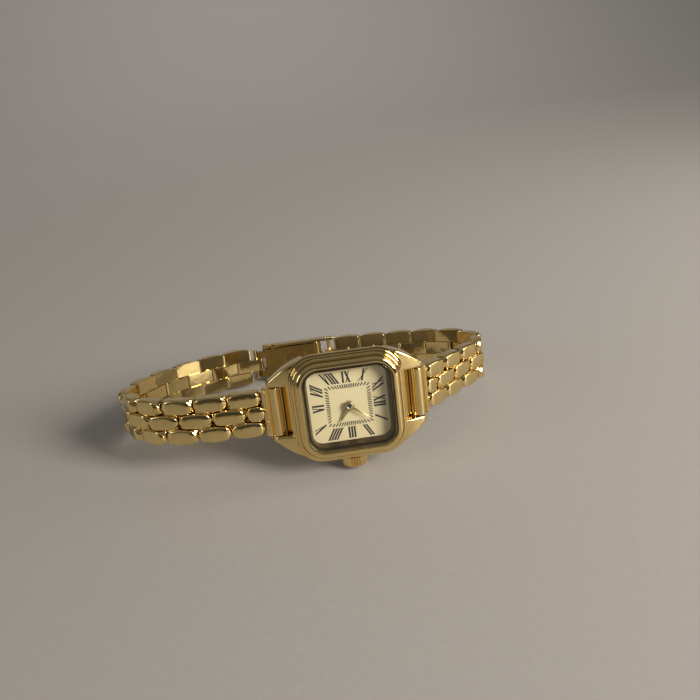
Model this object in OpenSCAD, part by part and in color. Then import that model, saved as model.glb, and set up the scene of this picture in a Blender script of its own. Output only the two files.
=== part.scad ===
// Small square bracelet wristwatch, closed and lying on its side.
// Row frame: +X is 12 o'clock, -Y faces out of the dial, +Z is up (9 o'clock side).
// It stands on the crown in front and on the lower edge of the bracelet behind.

/* [Case] */
// Length of the case from 12 to 6 o'clock, without lugs
case_len = 20.4; // [20:0.1:23]
// Width of the case from 9 to 3 o'clock
case_wid = 20.0; // [19.6:0.1:22]
// Radius of the case corners
case_corner = 4.8; // [4.2:0.1:5.5]
// Height of the case without back and bezel
case_h = 4.2; // [4.1:0.05:4.6]
// Thickness of the flange under the bezel
flange_t = 0.8; // [0.5:0.1:1]
// How far each lower step of the case side is set in
case_step = 0.5; // [0.3:0.05:0.6]
// Thickness of the pressed-on case back
back_t = 0.7; // [0.5:0.1:1]
// Distance from the dial centre to a spring bar
lug_reach = 13.0; // [12.8:0.1:14]
// Width of a lug at its tip
lug_w = 1.3; // [1.1:0.1:1.6]
// Height of the spring bars above the case's back seat
bar_z = 1.4; // [1.2:0.1:1.8]

/* [Bezel and crystal] */
// Length of the crystal from 12 to 6 o'clock
crystal_len = 15.8; // [15.4:0.1:16.2]
// Width of the crystal from 9 to 3 o'clock
crystal_wid = 15.1; // [14.8:0.1:15.4]
// Radius of the crystal corners
crystal_corner = 3.0; // [2.6:0.1:3.4]
// Thickness of the crystal at its edge
crystal_t = 1.0; // [0.8:0.1:1.2]
// Thickness of the crystal gasket
gasket_t = 0.15; // [0.1:0.05:0.2]
// Width of the upper bezel ring
ring_w = 1.05; // [0.9:0.05:1.2]
// Width of the lower bezel ring
ring2_w = 0.6; // [0.4:0.05:0.7]
// Height of the whole bezel above the case
bezel_h = 1.95; // [1.9:0.05:2.3]

/* [Dial and hands] */
// Length of the dial that shows, 12 to 6 o'clock
dial_show_len = 14.2; // [13.6:0.1:14.4]
// Width of the dial that shows, 9 to 3 o'clock
dial_show_wid = 13.2; // [12.8:0.1:13.6]
// Thickness of the dial plate
dial_t = 0.4; // [0.3:0.05:0.45]
// Height of the dial's front above the case's back seat
dial_z = 3.75; // [3.7:0.05:3.8]
// Length of the minute hand from the centre
minute_len = 4.5; // [4:0.1:5.5]
// Length of the hour hand from the centre
hour_len = 3.6; // [3:0.1:4.2]
// Thickness of the hands
hand_t = 0.15; // [0.1:0.05:0.2]
// Minutes past four that the hands show at rest
shown_minutes = 6.3; // [0:0.1:59]
// Height of the printed numerals
numeral_h = 2.1; // [1.6:0.1:2.2]
// Thickness of the printing on the dial
print_t = 0.02; // [0.02:0.01:0.05]

/* [Crown] */
// Diameter of the crown over its teeth
crown_d = 4.6; // [4:0.1:5]
// Length of the crown
crown_len = 2.15; // [1.8:0.05:2.4]
// Number of teeth round the crown
crown_teeth = 26; // [18:2:36]
// Diameter of the stem
stem_d = 0.7; // [0.6:0.05:0.8]
// How far the crown pulls out to set the hands
crown_pull = 0.9; // [0.6:0.1:1]

/* [Movement] */
// Diameter of the battery cell
cell_d = 5.8; // [5.6:0.1:5.9]
// Thickness of the battery cell
cell_t = 1.6; // [1.4:0.1:1.6]
// Length of the main plate, 12 to 6 o'clock
plate_len = 13.2; // [13:0.1:13.4]
// Width of the main plate, 9 to 3 o'clock
plate_wid = 11.8; // [11.6:0.1:12]
// Thickness of the main plate
plate_t = 0.6; // [0.5:0.05:0.65]
// Module of the hour and minute gearing
gear_m = 0.1; // [0.095:0.005:0.1]
// Module of the rotor gearing
rotor_m = 0.08; // [0.075:0.005:0.08]

/* [Bracelet] */
// Width of the bracelet
band_w = 8.4; // [8:0.1:9]
// Width of the end pieces at the lugs
end_w = 9.0; // [8.8:0.1:9.4]
// Width of the middle row of bricks
mid_w = 2.7; // [2.4:0.1:3]
// Distance between two hinge pins
pitch = 6.1; // [5.8:0.05:6.4]
// Thickness of a link
link_t = 2.2; // [2:0.1:2.4]
// Gap between the ends of two bricks
end_gap = 0.4; // [0.36:0.02:0.5]
// Gap between two rows of bricks
row_gap = 0.12; // [0.1:0.01:0.16]
// Radius of the hinge pins
pin_r = 0.45; // [0.4:0.05:0.5]
// How much a brick falls away at its ends
dome = 0.5; // [0.3:0.05:0.6]
// Radius of a brick's corners, seen from outside
brick_corner = 0.5; // [0.3:0.1:0.8]
// How much narrower each side of a brick is at its ends than in its middle
brick_bow = 0.3; // [0.1:0.05:0.35]
// Distance from a spring bar to the first hinge pin
end_len = 3.9; // [3.8:0.05:4.2]
// Length of the clasp between its two pins
clasp_len = 17.5; // [17:0.1:18.5]
// Thickness of the clasp sheet
clasp_t = 0.6; // [0.5:0.05:0.7]

/* [Fits] */
// Radial clearance of running fits
fit = 0.05; // [0.03:0.01:0.08]
// Radial clearance of pieces that are pressed together
press = 0.01; // [0.01:0.01:0.02]
// Clearance of pieces that are laid into each other
seat = 0.05; // [0.04:0.01:0.1]

/* [Hidden] */
$fn = 48;
GOLD = "#c8a85a";
BRASS = "#b08d4a";
STEEL = "#b9bcc0";

// Turn of the end piece and of each hinge, in degrees, towards the wrist
turn_12 = 44;
turn_6 = 3;
bends_12 = [0, 0, 0, 34, 37, 33, 14, 5, 3, 2];
bends_6 = [0, 4, 12, 21, 23, 36, 20, 14, 13, 12, 10];

// Case heights, from the seat of the case back
bezel_top = case_h + bezel_h;
flange_z = case_h - flange_t;
low_z = 1.2;
cav_len = 15.6;
cav_wid = 15.0;
cav_corner = 3.2;
top_z = dial_z + seat;
crystal_z = bezel_top - crystal_t - 0.1;
pocket_len = crystal_len + 2*gasket_t + 2*seat;
pocket_wid = crystal_wid + 2*gasket_t + 2*seat;
pocket_corner = crystal_corner + gasket_t + seat;
ledge_len = crystal_len - 0.8;
ledge_wid = crystal_wid - 0.9;
ledge_corner = crystal_corner - 0.4;
ring_len = pocket_len + 2*ring_w;
ring_wid = pocket_wid + 2*ring_w;
ring_corner = pocket_corner + ring_w;
ring_z = case_h + 1.05;
ring2_z = case_h + 0.4;
gasket_h = crystal_t - 0.2;

// Lugs and spring bars
lug_gap = end_w + 0.3;
lug_tip = lug_reach + 1.15;
lug_in = 0.15;
shoulder = lug_reach - link_t/2 - 0.4;
shoulder_top = case_len/2 + 0.3;
shoulder_z = 0.8;
bar_r = 0.65;
bar_tip_r = 0.35;
bar_tip_len = 0.8;

// Movement heights
cell_z = 0.35;
plate_z = 2.2;
post_z = plate_z + plate_t;
train_z = cell_z + cell_t + 0.04;
bridge_z = 0.95;
bridge_t = 0.3;
motion_z = post_z + 0.05;
motion_t = 0.18;
hour_z = motion_z + motion_t + 0.04;
holder_z = 0.9;
holder_top = dial_z - dial_t;
arbor_r = 0.2;
cannon_r = 0.35;
pipe_r = 0.6;
pivot_r = 0.12;
hour_hand_z = dial_z + 0.3;
minute_hand_z = hour_hand_z + hand_t + 0.2;
hour_wide = 0.95;
minute_wide = 0.5;
minute_boss = 0.85;

// Teeth of the gearing, and the places of its axes beside the centre
cannon_teeth = 10;
minute_wheel_teeth = 30;
minute_pinion_teeth = 8;
hour_teeth = 32;
centre_teeth = 40;
third_pinion_teeth = 8;
third_teeth = 36;
rotor_teeth = 6;
motion_turn = 215;
third_turn = 60;
rotor_turn = 100;
motion_dist = gear_m*(cannon_teeth + minute_wheel_teeth)/2;
third_dist = gear_m*(centre_teeth + third_pinion_teeth)/2;
rotor_dist = rotor_m*(third_teeth + rotor_teeth)/2;
motion_at = motion_dist*[cos(motion_turn), sin(motion_turn)];
third_at = third_dist*[cos(third_turn), sin(third_turn)];
rotor_at = third_at + rotor_dist*[cos(rotor_turn), sin(rotor_turn)];
cell_at = [-plate_wid/2 + cell_d/2 + 0.3, -plate_len/2 + cell_d/2 + 0.3];
screws_at = [[4.9, 4.9], [-5.1, 0.7], [3.2, -1.9]];
screw_r = 0.3;
screw_head_t = 0.3;
strap_t = 0.2;
strap_w = 1.0;
strap_z = cell_z - strap_t - 0.02;
foot_z = strap_z + 0.42;
third_wheel_z = bridge_z + bridge_t + 0.25;
rotor_z = third_wheel_z + motion_t + 0.06;

// Crown and stem, along the 3 o'clock side
stem_z = 1.75;
stem_r = stem_d/2;
stem_end = 3.4;
crown_x = case_wid/2 + 0.12;
crown_r = crown_d/2;
tube_r = 0.95;
crown_bore_r = tube_r + 0.4;
tube_in = cav_wid/2;
tube_out = crown_x + 0.7;
groove_x = 4.7;
groove_w = 0.4;
crown_top = crown_x + crown_len;
crown_end_r = crown_r - 0.6;

// Bracelet
half_t = link_t/2;
side_w = (band_w - mid_w)/2 - row_gap;
side_z = mid_w/2 + row_gap + side_w/2;
pin_half = band_w/2 - 0.5;
start_x = -pitch/4 + end_gap/2;
stop_x = 3*pitch/4 - end_gap/2;
nose_start = pitch/4 + end_gap/2;
end_r = pitch/4 + end_gap/2 - row_gap;
web_t = link_t - 1.0;
web_in = 0.3;
spring_r = bar_r;

// The two chains of pins in the plane of the bracelet, x to 12 o'clock, y to the wrist
function run(v, n) = n < 0 ? 0 : v[n] + run(v, n - 1);
function heading(turn, bends, more, i) = turn + run(bends, i - 1) + i*more;
function step(a, l) = l*[cos(a), sin(a)];
function pin(turn, bends, more, i) = i == 0 ? step(turn, end_len)
    : pin(turn, bends, more, i - 1) + step(heading(turn, bends, more, i), pitch);
function flip(p) = [-p[0], p[1]];
bar_12 = [lug_reach, -bar_z];
bar_6 = [-lug_reach, -bar_z];
n_12 = len(bends_12);
n_6 = len(bends_6);
function end_12(more) = bar_12 + pin(turn_12, bends_12, more, n_12);
function end_6(more) = bar_6 + flip(pin(turn_6, bends_6, more, n_6));
function open_by(more) = norm(end_12(more) - end_6(more)) - clasp_len;

// Every hinge takes the same extra bend, which closes the bracelet on the clasp
function closing(lo, hi, n) = n == 0 ? (lo + hi)/2
    : open_by((lo + hi)/2) > 0 ? closing((lo + hi)/2, hi, n - 1)
    : closing(lo, (lo + hi)/2, n - 1);
more = closing(-6, 6, 40);
head_12 = [for (i = [0 : n_12]) heading(turn_12, bends_12, more, i)];
head_6 = [for (i = [0 : n_6]) heading(turn_6, bends_6, more, i)];
pins_12 = [for (i = [0 : n_12]) bar_12 + pin(turn_12, bends_12, more, i)];
pins_6 = [for (i = [0 : n_6]) bar_6 + flip(pin(turn_6, bends_6, more, i))];
clasp_from = pins_12[n_12];
clasp_to = pins_6[n_6];
clasp_dir = clasp_to - clasp_from;
clasp_turn = atan2(clasp_dir[1], clasp_dir[0]);

// The clasp's own pieces, measured from its first pin
cover_half = band_w/2 + 0.1;
cover_skin = half_t + 0.15;
cover_stop = clasp_len - nose_start - 0.1;
wall_stop = clasp_len - 2.4;
blade_pin_x = nose_start + 1.3;
blade_pin_y = 0.35;
blade_half = cover_half - clasp_t - 0.25;
blade_y = half_t - clasp_t - 0.1;
knuckle_r = 0.6;
stud_x = clasp_len - 4.2;
stud_r = 0.3;
blade_stud_y = -blade_y - clasp_t/2;
ear_gap = mid_w/2 + 0.15;
ear_stop = clasp_len - pin_r;
ear_w = 1.5;
ear_len = 3.6;
ear_back = 0.6;
ear_half = 0.5;
ear_bite_r = pin_r + 0.15;
leaf_stop = ear_stop - ear_len/2;
open_pin_half = 3.4;

// How the closed watch lies: tilted until crown and bracelet touch the ground
far_pins = concat(pins_12, pins_6);
cover_ends = [nose_start + 0.1, cover_stop];
back_y = max([for (x = cover_ends) clasp_from[1] + x*sin(clasp_turn)]) + cover_skin*abs(cos(clasp_turn));
crown_y = crown_end_r - stem_z;
lie_tilt = atan((crown_top - cover_half)/(back_y - crown_y));
far_x = [for (p = far_pins) p[0]];
shift_x = -(max(far_x) + min(far_x))/2;
front_y = -bezel_top*cos(lie_tilt) - ring_wid/2*sin(lie_tilt);
rear_y = back_y*cos(lie_tilt) + cover_half*sin(lie_tilt);
shift_y = -(front_y + rear_y)/2;
shift_z = crown_top*cos(lie_tilt) + crown_y*sin(lie_tilt);

// Places the bracelet's plane and the head in the row frame
module lying() {
    translate([shift_x, shift_y, shift_z]) rotate([-lie_tilt, 0, 0]) children();
}

// The head's own frame: x to 3 o'clock, y to 12 o'clock, z out of the dial
module head() {
    lying() rotate([90, 90, 0]) children();
}

module rounded(w, l, r) {
    square([w - 2*r, l], center = true);
    square([w, l - 2*r], center = true);
    for (sx = [-1, 1], sy = [-1, 1])
        translate([sx*(w/2 - r), sy*(l/2 - r)]) circle(r = r);
}

module slab(w, l, r, z0, z1) {
    translate([0, 0, z0]) linear_extrude(z1 - z0) rounded(w, l, r);
}

module frame_ring(w, l, r, in_w, in_l, in_r, z0, z1) {
    translate([0, 0, z0]) linear_extrude(z1 - z0) difference() {
        rounded(w, l, r);
        rounded(in_w, in_l, in_r);
    }
}

module disc(r, z0, z1) {
    translate([0, 0, z0]) cylinder(r = r, h = z1 - z0);
}

// A cylinder along x, from x0 to x1
module rod_x(r, x0, x1) {
    translate([x0, 0, 0]) rotate([0, 90, 0]) cylinder(r = r, h = x1 - x0);
}

// Low straight-sided teeth with wide gaps, as on small watch wheels
module gear(teeth, m, z0, z1) {
    r = teeth*m/2;
    tip = r + 0.55*m;
    root = r - 0.8*m;
    at = 360/teeth;
    translate([0, 0, z0]) linear_extrude(z1 - z0)
        polygon([for (i = [0 : teeth - 1], k = [[root, -0.30], [tip, -0.13], [tip, 0.13], [root, 0.30]])
            k[0]*[cos((i + k[1])*at), sin((i + k[1])*at)]]);
}

// Where a line from point p touches a circle
function touch(c, r, p) = let (d = p - c, a = atan2(d[1], d[0]) - acos(r/norm(d)))
    c + r*[cos(a), sin(a)];

// One lug: its plan and its side view, cut with each other; its outer side runs on
// from the case's round corner
module lug() {
    tip_c = lug_tip - lug_w/2;
    root_y = case_len/2 - 3;
    side = touch([case_wid/2 - case_corner, case_len/2 - case_corner], case_corner - lug_in,
        [lug_gap/2 + lug_w, tip_c]);
    intersection() {
        linear_extrude(flange_z + 0.3) union() {
            polygon([[lug_gap/2, root_y], [lug_gap/2, tip_c], [lug_gap/2 + lug_w, tip_c],
                side, [side[0] - lug_in, root_y]]);
            translate([lug_gap/2 + lug_w/2, tip_c]) circle(r = lug_w/2);
        }
        translate([case_wid/2, 0, 0]) rotate([0, -90, 0]) linear_extrude(case_wid/2)
            polygon([[0.25, root_y], [0.15, lug_tip - 1.2], [0.7, lug_tip], [bar_z + 0.5, lug_tip],
                [bar_z + 1.2, lug_tip - 1.2], [flange_z + 0.2, case_len/2 - 0.4],
                [flange_z + 0.2, root_y]]);
    }
}

// The web between two lugs: it slopes down from the flange to the end piece
module shoulder_web() {
    root_y = case_len/2 - 3;
    translate([lug_gap/2 + 0.5, 0, 0]) rotate([0, -90, 0]) linear_extrude(lug_gap + 1)
        polygon([[shoulder_z, root_y], [shoulder_z, shoulder], [shoulder_z + 0.4, shoulder],
            [flange_z, shoulder_top], [flange_z, root_y]]);
}

module case_body() {
    color(GOLD) head() difference() {
        union() {
            slab(case_wid - 4*case_step, case_len - 4*case_step, case_corner - 2*case_step, 0, low_z);
            slab(case_wid - 2*case_step, case_len - 2*case_step, case_corner - case_step,
                low_z, flange_z);
            slab(case_wid, case_len, case_corner, flange_z, case_h);
            for (my = [0, 1]) mirror([0, my, 0]) shoulder_web();
            for (mx = [0, 1], my = [0, 1]) mirror([mx, 0, 0]) mirror([0, my, 0]) lug();
        }
        slab(cav_wid, cav_len, cav_corner, -1, top_z);
        slab(ledge_wid, ledge_len, ledge_corner, top_z - 0.1, case_h + 1);
        slab(cav_wid + 1.4, cav_len + 1.4, cav_corner + 0.7, -1, 0.3);
        translate([0, 0, stem_z]) rod_x(tube_r + press, 0, case_wid);
        for (sy = [-1, 1]) translate([0, sy*lug_reach, bar_z])
            rod_x(bar_tip_r + fit, -lug_gap/2 - 1, lug_gap/2 + 1);
    }
}

module bezel() {
    color(GOLD) head() difference() {
        union() {
            slab(case_wid - 0.6, case_len - 0.6, case_corner - 0.3, case_h, ring2_z);
            slab(ring_wid + 2*ring2_w, ring_len + 2*ring2_w, ring_corner + ring2_w, case_h, ring_z);
            slab(ring_wid, ring_len, ring_corner, case_h, bezel_top);
        }
        slab(ledge_wid, ledge_len, ledge_corner, case_h - 1, bezel_top + 1);
        slab(pocket_wid, pocket_len, pocket_corner, crystal_z, bezel_top + 1);
    }
}

module crystal() {
    color("#dfe8ea", 0.35) head()
        slab(crystal_wid, crystal_len, crystal_corner, crystal_z, crystal_z + crystal_t);
}

module crystal_gasket() {
    color("#e8e4da") head()
        frame_ring(pocket_wid - 2*seat, pocket_len - 2*seat, pocket_corner - seat,
            crystal_wid + 2*press, crystal_len + 2*press, crystal_corner + press,
            crystal_z, crystal_z + gasket_h);
}

// The dark sloping ring between the crystal and the dial, in two steps
module rehaut() {
    color("#4a3c22") head() {
        frame_ring(ledge_wid - 2*seat, ledge_len - 2*seat, ledge_corner - seat,
            dial_show_wid, dial_show_len, ledge_corner - 0.8, dial_z, dial_z + 0.6);
        frame_ring(ledge_wid - 2*seat, ledge_len - 2*seat, ledge_corner - seat,
            (dial_show_wid + ledge_wid)/2, (dial_show_len + ledge_len)/2, ledge_corner - 0.4,
            dial_z + 0.6, crystal_z);
    }
}

module dial() {
    color("#efe2bd") head() {
        difference() {
            slab(cav_wid - 4*seat, cav_len - 4*seat, cav_corner - 2*seat, dial_z - dial_t, dial_z);
            disc(pipe_r + 0.15, dial_z - 1, dial_z + 1);
        }
        for (s = [-1, 1]) translate([s*4.2, -s*5.4, 0]) disc(0.3, plate_z + 0.2, dial_z - dial_t);
    }
}

// Dial printing
NUMERALS = ["XII", "I", "II", "III", "IIII", "V", "VI", "VII", "VIII", "IX", "X", "XI"];
numeral_x = dial_show_wid/2 - numeral_h/2 - 0.35;
numeral_y = dial_show_len/2 - numeral_h/2 - 0.55;
thick = 0.34;
thin = 0.16;
serif = 0.1;
track_wid = 7.75;
track_len = 8.2;
mark_w = 0.2;
mark_len = 0.72;
five_shift = 0.65;

// Strokes and serifs of one plain letter, each with four corners; y goes from foot to top
function stroke(x0, x1, w) = [[x0 - w/2, -numeral_h/2], [x0 + w/2, -numeral_h/2],
    [x1 + w/2, numeral_h/2], [x1 - w/2, numeral_h/2]];
function foot(x, s, w) = [for (k = [[-1, 1], [1, 1], [1, 0], [-1, 0]])
    [x + k[0]*w/2, s*(numeral_h/2 - k[1]*serif)]];
function letter(c) =
    c == "I" ? [stroke(0, 0, thick), foot(0, 1, 0.44), foot(0, -1, 0.44)]
    : c == "V" ? [stroke(0.03, -0.29, thick), stroke(0.03, 0.33, thin), foot(-0.3, 1, 0.46), foot(0.33, 1, 0.3)]
    : [stroke(0.33, -0.33, thick), stroke(-0.33, 0.33, thin), foot(-0.34, 1, 0.44), foot(0.34, 1, 0.3),
        foot(-0.34, -1, 0.3), foot(0.34, -1, 0.44)];
function span(c) = c == "I" ? 0.49 : c == "V" ? 0.95 : 1.15;
function upto(w, n) = n <= 0 ? 0 : span(w[n - 1]) + upto(w, n - 1);

// A numeral at the 12 o'clock side of the dial: it leans along its ray, its feet stay level
module numeral(w, out, lean) {
    for (i = [0 : len(w) - 1]) {
        x = upto(w, i) + span(w[i])/2 - upto(w, len(w))/2;
        for (q = letter(w[i]))
            polygon([for (p = q) [x + p[0] + (out + p[1])*lean, out + p[1]]]);
    }
}

// Where a ray at a clock angle meets a rectangle
function on_box(a, w, l) = let (s = sin(a), c = cos(a))
    min(w/2/max(abs(s), 0.001), l/2/max(abs(c), 0.001))*[s, c];

module dial_print() {
    color("#14110d") head() translate([0, 0, dial_z]) linear_extrude(print_t) {
        for (i = [0 : 11]) {
            side = floor((i + 1)/3);
            rotate([0, 0, -90*side]) translate([i == 5 ? -five_shift : 0, 0])
                numeral(NUMERALS[i], side % 2 == 0 ? numeral_y : numeral_x, tan(30*i - 90*side));
        }
        for (i = [0 : 59])
            translate(on_box(6*i, track_wid - mark_len, track_len - mark_len)) rotate([0, 0, -6*i])
                square([mark_w, mark_len], center = true);
    }
}

// A tapered hand with a round boss, pointing to 12
module hand(len, boss, bore, wide) {
    difference() {
        union() {
            circle(r = boss);
            polygon([[-wide/2, 0], [wide/2, 0], [0.06, len], [-0.06, len]]);
        }
        circle(r = bore);
    }
}

module hour_hand() {
    color(GOLD) head() rotate([0, 0, -(120 + shown_minutes/2)])
        translate([0, 0, hour_hand_z]) linear_extrude(hand_t)
            hand(hour_len, pipe_r + 0.2, pipe_r + press, hour_wide);
}

module minute_hand() {
    color(GOLD) head() rotate([0, 0, -6*shown_minutes])
        translate([0, 0, minute_hand_z]) linear_extrude(hand_t)
            hand(minute_len, minute_boss, cannon_r + press, minute_wide);
}

// The minute hand sits on this pipe; its ten teeth drive the minute wheel
module cannon_pinion() {
    color(BRASS) head() difference() {
        union() {
            disc(cannon_r, motion_z, minute_hand_z + hand_t);
            gear(cannon_teeth, gear_m, motion_z, motion_z + motion_t);
        }
        disc(arbor_r + press, motion_z - 1, minute_hand_z + hand_t + 1);
    }
}

module hour_wheel() {
    color(BRASS) head() difference() {
        union() {
            disc(pipe_r, hour_z, hour_hand_z + hand_t);
            gear(hour_teeth, gear_m, hour_z, hour_z + motion_t);
        }
        disc(cannon_r + fit, hour_z - 1, hour_hand_z + 1);
    }
}

// Turned by half a tooth where its teeth enter the gaps of its mates
module minute_wheel() {
    color(BRASS) head() translate([motion_at[0], motion_at[1], 0]) difference() {
        union() {
            rotate([0, 0, motion_turn + 180 + 180/minute_wheel_teeth
                + phase(motion_turn, cannon_teeth, minute_wheel_teeth)])
                gear(minute_wheel_teeth, gear_m, motion_z, motion_z + motion_t);
            rotate([0, 0, motion_turn + 180 + 180/minute_pinion_teeth
                + phase(motion_turn, hour_teeth, minute_pinion_teeth)])
                gear(minute_pinion_teeth, gear_m, motion_z + motion_t/2, hour_z + motion_t);
        }
        disc(pivot_r + fit, motion_z - 1, hour_z + 1);
    }
}

// A wheel at rest with a tooth on +x meets its mate at a clock angle; this turns the mate to fit
function phase(turn, teeth, mate) = let (at = 360/teeth, off = turn - at*round(turn/at))
    off*teeth/mate;

module centre_wheel() {
    color(BRASS) head() {
        difference() {
            gear(centre_teeth, gear_m, train_z, train_z + 0.16);
            for (i = [0 : 3]) rotate([0, 0, 45 + 90*i]) translate([1.1, 0, 0])
                disc(0.45, train_z - 1, train_z + 1);
        }
        disc(arbor_r, bridge_z + bridge_t + 0.05, train_z);
        disc(pivot_r, bridge_z + 0.05, bridge_z + bridge_t + 0.05);
        disc(arbor_r, train_z + 0.16, minute_hand_z + hand_t);
    }
}

module third_wheel() {
    color(BRASS) head() translate([third_at[0], third_at[1], 0]) {
        rotate([0, 0, third_turn + 180 + 180/third_pinion_teeth
            + phase(third_turn, centre_teeth, third_pinion_teeth)])
            gear(third_pinion_teeth, gear_m, third_wheel_z + motion_t, train_z + 0.19);
        gear(third_teeth, rotor_m, third_wheel_z, third_wheel_z + motion_t);
        disc(2*pivot_r, bridge_z + bridge_t + 0.05, third_wheel_z);
        disc(pivot_r, bridge_z + 0.05, bridge_z + bridge_t + 0.05);
        disc(pivot_r, train_z + 0.19, post_z - 0.1);
    }
}

module rotor() {
    color("#5c6066") head() translate([rotor_at[0], rotor_at[1], 0]) {
        rotate([0, 0, rotor_turn + 180 + 180/rotor_teeth + phase(rotor_turn, third_teeth, rotor_teeth)])
            gear(rotor_teeth, rotor_m, third_wheel_z, third_wheel_z + motion_t);
        disc(0.16, third_wheel_z + motion_t, rotor_z);
        disc(0.5, rotor_z, rotor_z + 0.3);
        disc(pivot_r, bridge_z + 0.05, third_wheel_z);
        disc(pivot_r, rotor_z + 0.3, post_z - 0.1);
    }
}

// The magnet core round the rotor, with its two feet on the coil
module stator() {
    color(STEEL) head() difference() {
        translate([-4.9, rotor_at[1] - 0.95, rotor_z]) cube([7, 1.9, 0.25]);
        translate([rotor_at[0], rotor_at[1], 0]) disc(0.65, rotor_z - 1, rotor_z + 1);
    }
}

module coil() {
    color("#a4552a") head() {
        translate([-3.9, 5.55, 1.35]) rod_x(0.65, 0, 3.6);
        for (x = [-4.4, -0.3]) translate([x, 4.75, 0.7]) cube([0.5, 1.6, 1.3]);
    }
}

module circuit_board() {
    color("#2f6b45") head() {
        translate([0.9, -6.2, 1.35]) cube([4.6, 3.4, 0.2]);
        translate([3.2, -4.5, 0.85]) cube([1.6, 1.6, 0.6]);
        translate([1.2, -5.5, 1.0]) rod_x(0.4, 0, 3.2);
    }
}

module main_plate() {
    color(BRASS) head() {
        difference() {
            slab(plate_wid, plate_len, 1, plate_z, post_z);
            disc(arbor_r + fit, plate_z - 1, post_z + 1);
            for (p = [third_at, rotor_at]) translate([p[0], p[1], 0])
                disc(pivot_r + fit, plate_z - 1, post_z + 1);
            for (s = [-1, 1]) translate([s*4.2, -s*5.4, 0]) disc(0.3 + seat, plate_z - 1, post_z + 1);
            for (p = screws_at) translate([p[0], p[1], 0])
                disc(screw_r + press, plate_z - 1, plate_z + 0.45);
        }
        translate([motion_at[0], motion_at[1], 0]) disc(pivot_r, post_z, hour_z + motion_t);
    }
}

// Carries the lower pivots of the train, on two pillars under the main plate
module train_bridge() {
    color(BRASS) head() difference() {
        union() {
            translate([-0.7, -0.7, bridge_z]) cube([6.2, 6.2, bridge_t]);
            translate([2.5, -2.6, bridge_z]) cube([1.4, 2.1, bridge_t]);
            for (i = [0, 2]) translate([screws_at[i][0], screws_at[i][1], 0]) disc(0.6, bridge_z, plate_z);
        }
        disc(pivot_r + fit, 0, plate_z);
        for (p = [third_at, rotor_at]) translate([p[0], p[1], 0]) disc(pivot_r + fit, 0, plate_z);
        for (p = screws_at) translate([p[0], p[1], 0]) disc(screw_r + fit, 0, plate_z + 1);
        translate([-2, 4.6, 0]) cube([2.4, 1.5, plate_z]);
    }
}

module movement_screws() {
    color(STEEL) head() for (i = [0 : 2]) translate([screws_at[i][0], screws_at[i][1], 0]) {
        head_z = (i == 1 ? foot_z : bridge_z) - screw_head_t;
        difference() {
            disc(0.5, head_z, head_z + screw_head_t);
            translate([-1, -0.07, head_z - 0.1]) cube([2, 0.14, 0.22]);
        }
        disc(screw_r, head_z + screw_head_t, plate_z + 0.4);
    }
}

// The plastic ring that centres the movement in the case
module movement_holder() {
    color("#d9d6cc") head() difference() {
        union() {
            frame_ring(cav_wid - 2*seat, cav_len - 2*seat, cav_corner - seat,
                plate_wid + 2*seat, plate_len + 2*seat, 1 + seat, holder_z, holder_top);
            translate([-plate_wid/2 - 0.3, screws_at[1][1] - 0.75, foot_z + strap_t])
                cube([plate_wid/2 + 1.05 + screws_at[1][0], 1.5, plate_z - foot_z - strap_t]);
        }
        translate([0, 0, stem_z]) rod_x(tube_r + 0.1, plate_wid/2 - 0.5, cav_wid);
        translate([screws_at[1][0], screws_at[1][1], 0]) disc(screw_r + fit, 0, plate_z + 1);
    }
}

module battery() {
    color(STEEL) head() translate([cell_at[0], cell_at[1], 0]) {
        disc(cell_d/2, cell_z + 0.3, cell_z + cell_t);
        disc(cell_d/2 - 0.4, cell_z, cell_z + 0.3);
    }
}

// The strap that holds the cell, stepped up to its screw beside it
module battery_clamp() {
    x0 = screws_at[1][0] - strap_w/2;
    y0 = cell_at[1] - strap_w;
    step_y = screws_at[1][1] - 1.05;
    color(BRASS) head() difference() {
        union() {
            translate([x0, y0, strap_z]) cube([strap_w, step_y - y0, strap_t]);
            translate([x0, y0, strap_z]) cube([cell_at[0] - x0 + strap_w, strap_w, strap_t]);
            translate([x0, step_y, strap_z]) cube([strap_w, strap_t, foot_z + strap_t - strap_z]);
            translate([x0, step_y, foot_z]) cube([strap_w, 1.75, strap_t]);
        }
        translate([screws_at[1][0], screws_at[1][1], 0]) disc(screw_r + fit, 0, 2);
    }
}

module crown() {
    color(GOLD) head() translate([0, 0, stem_z]) difference() {
        union() {
            translate([crown_x, 0, 0]) rotate([0, 90, 0]) linear_extrude(crown_len - 0.3)
                polygon([for (i = [0 : crown_teeth - 1],
                    k = [[crown_r - 0.16, 0], [crown_r, 0.22], [crown_r, 0.5], [crown_r - 0.16, 0.72]])
                    k[0]*[cos((i + k[1])*360/crown_teeth), sin((i + k[1])*360/crown_teeth)]]);
            rod_x(crown_r - 0.2, crown_x + 0.1, crown_top - 0.1);
            rod_x(crown_end_r, crown_x + 0.1, crown_top);
        }
        rod_x(crown_bore_r, crown_x - 1, crown_x + 1.0);
        rod_x(stem_r + press, crown_x, crown_top - 0.4);
    }
}

module crown_gasket() {
    color("#22211f") head() translate([0, 0, stem_z]) difference() {
        rod_x(crown_bore_r - press, crown_x + 0.1, crown_x + 0.5);
        rod_x(tube_r + fit, crown_x, crown_x + 1);
    }
}

module crown_tube() {
    color(GOLD) head() translate([0, 0, stem_z]) difference() {
        rod_x(tube_r, tube_in, tube_out);
        rod_x(stem_r + fit, tube_in - 1, tube_out + 1);
    }
}

module stem() {
    color(STEEL) head() translate([0, 0, stem_z]) difference() {
        union() {
            rod_x(stem_r, stem_end, crown_top - 0.45);
            translate([stem_end - 0.8, -0.2, -0.2]) cube([0.8, 0.4, 0.4]);
        }
        difference() {
            rod_x(1, groove_x - groove_w/2, groove_x + groove_w/2);
            rod_x(stem_r - 0.15, groove_x - 1, groove_x + 1);
        }
    }
}

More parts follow.
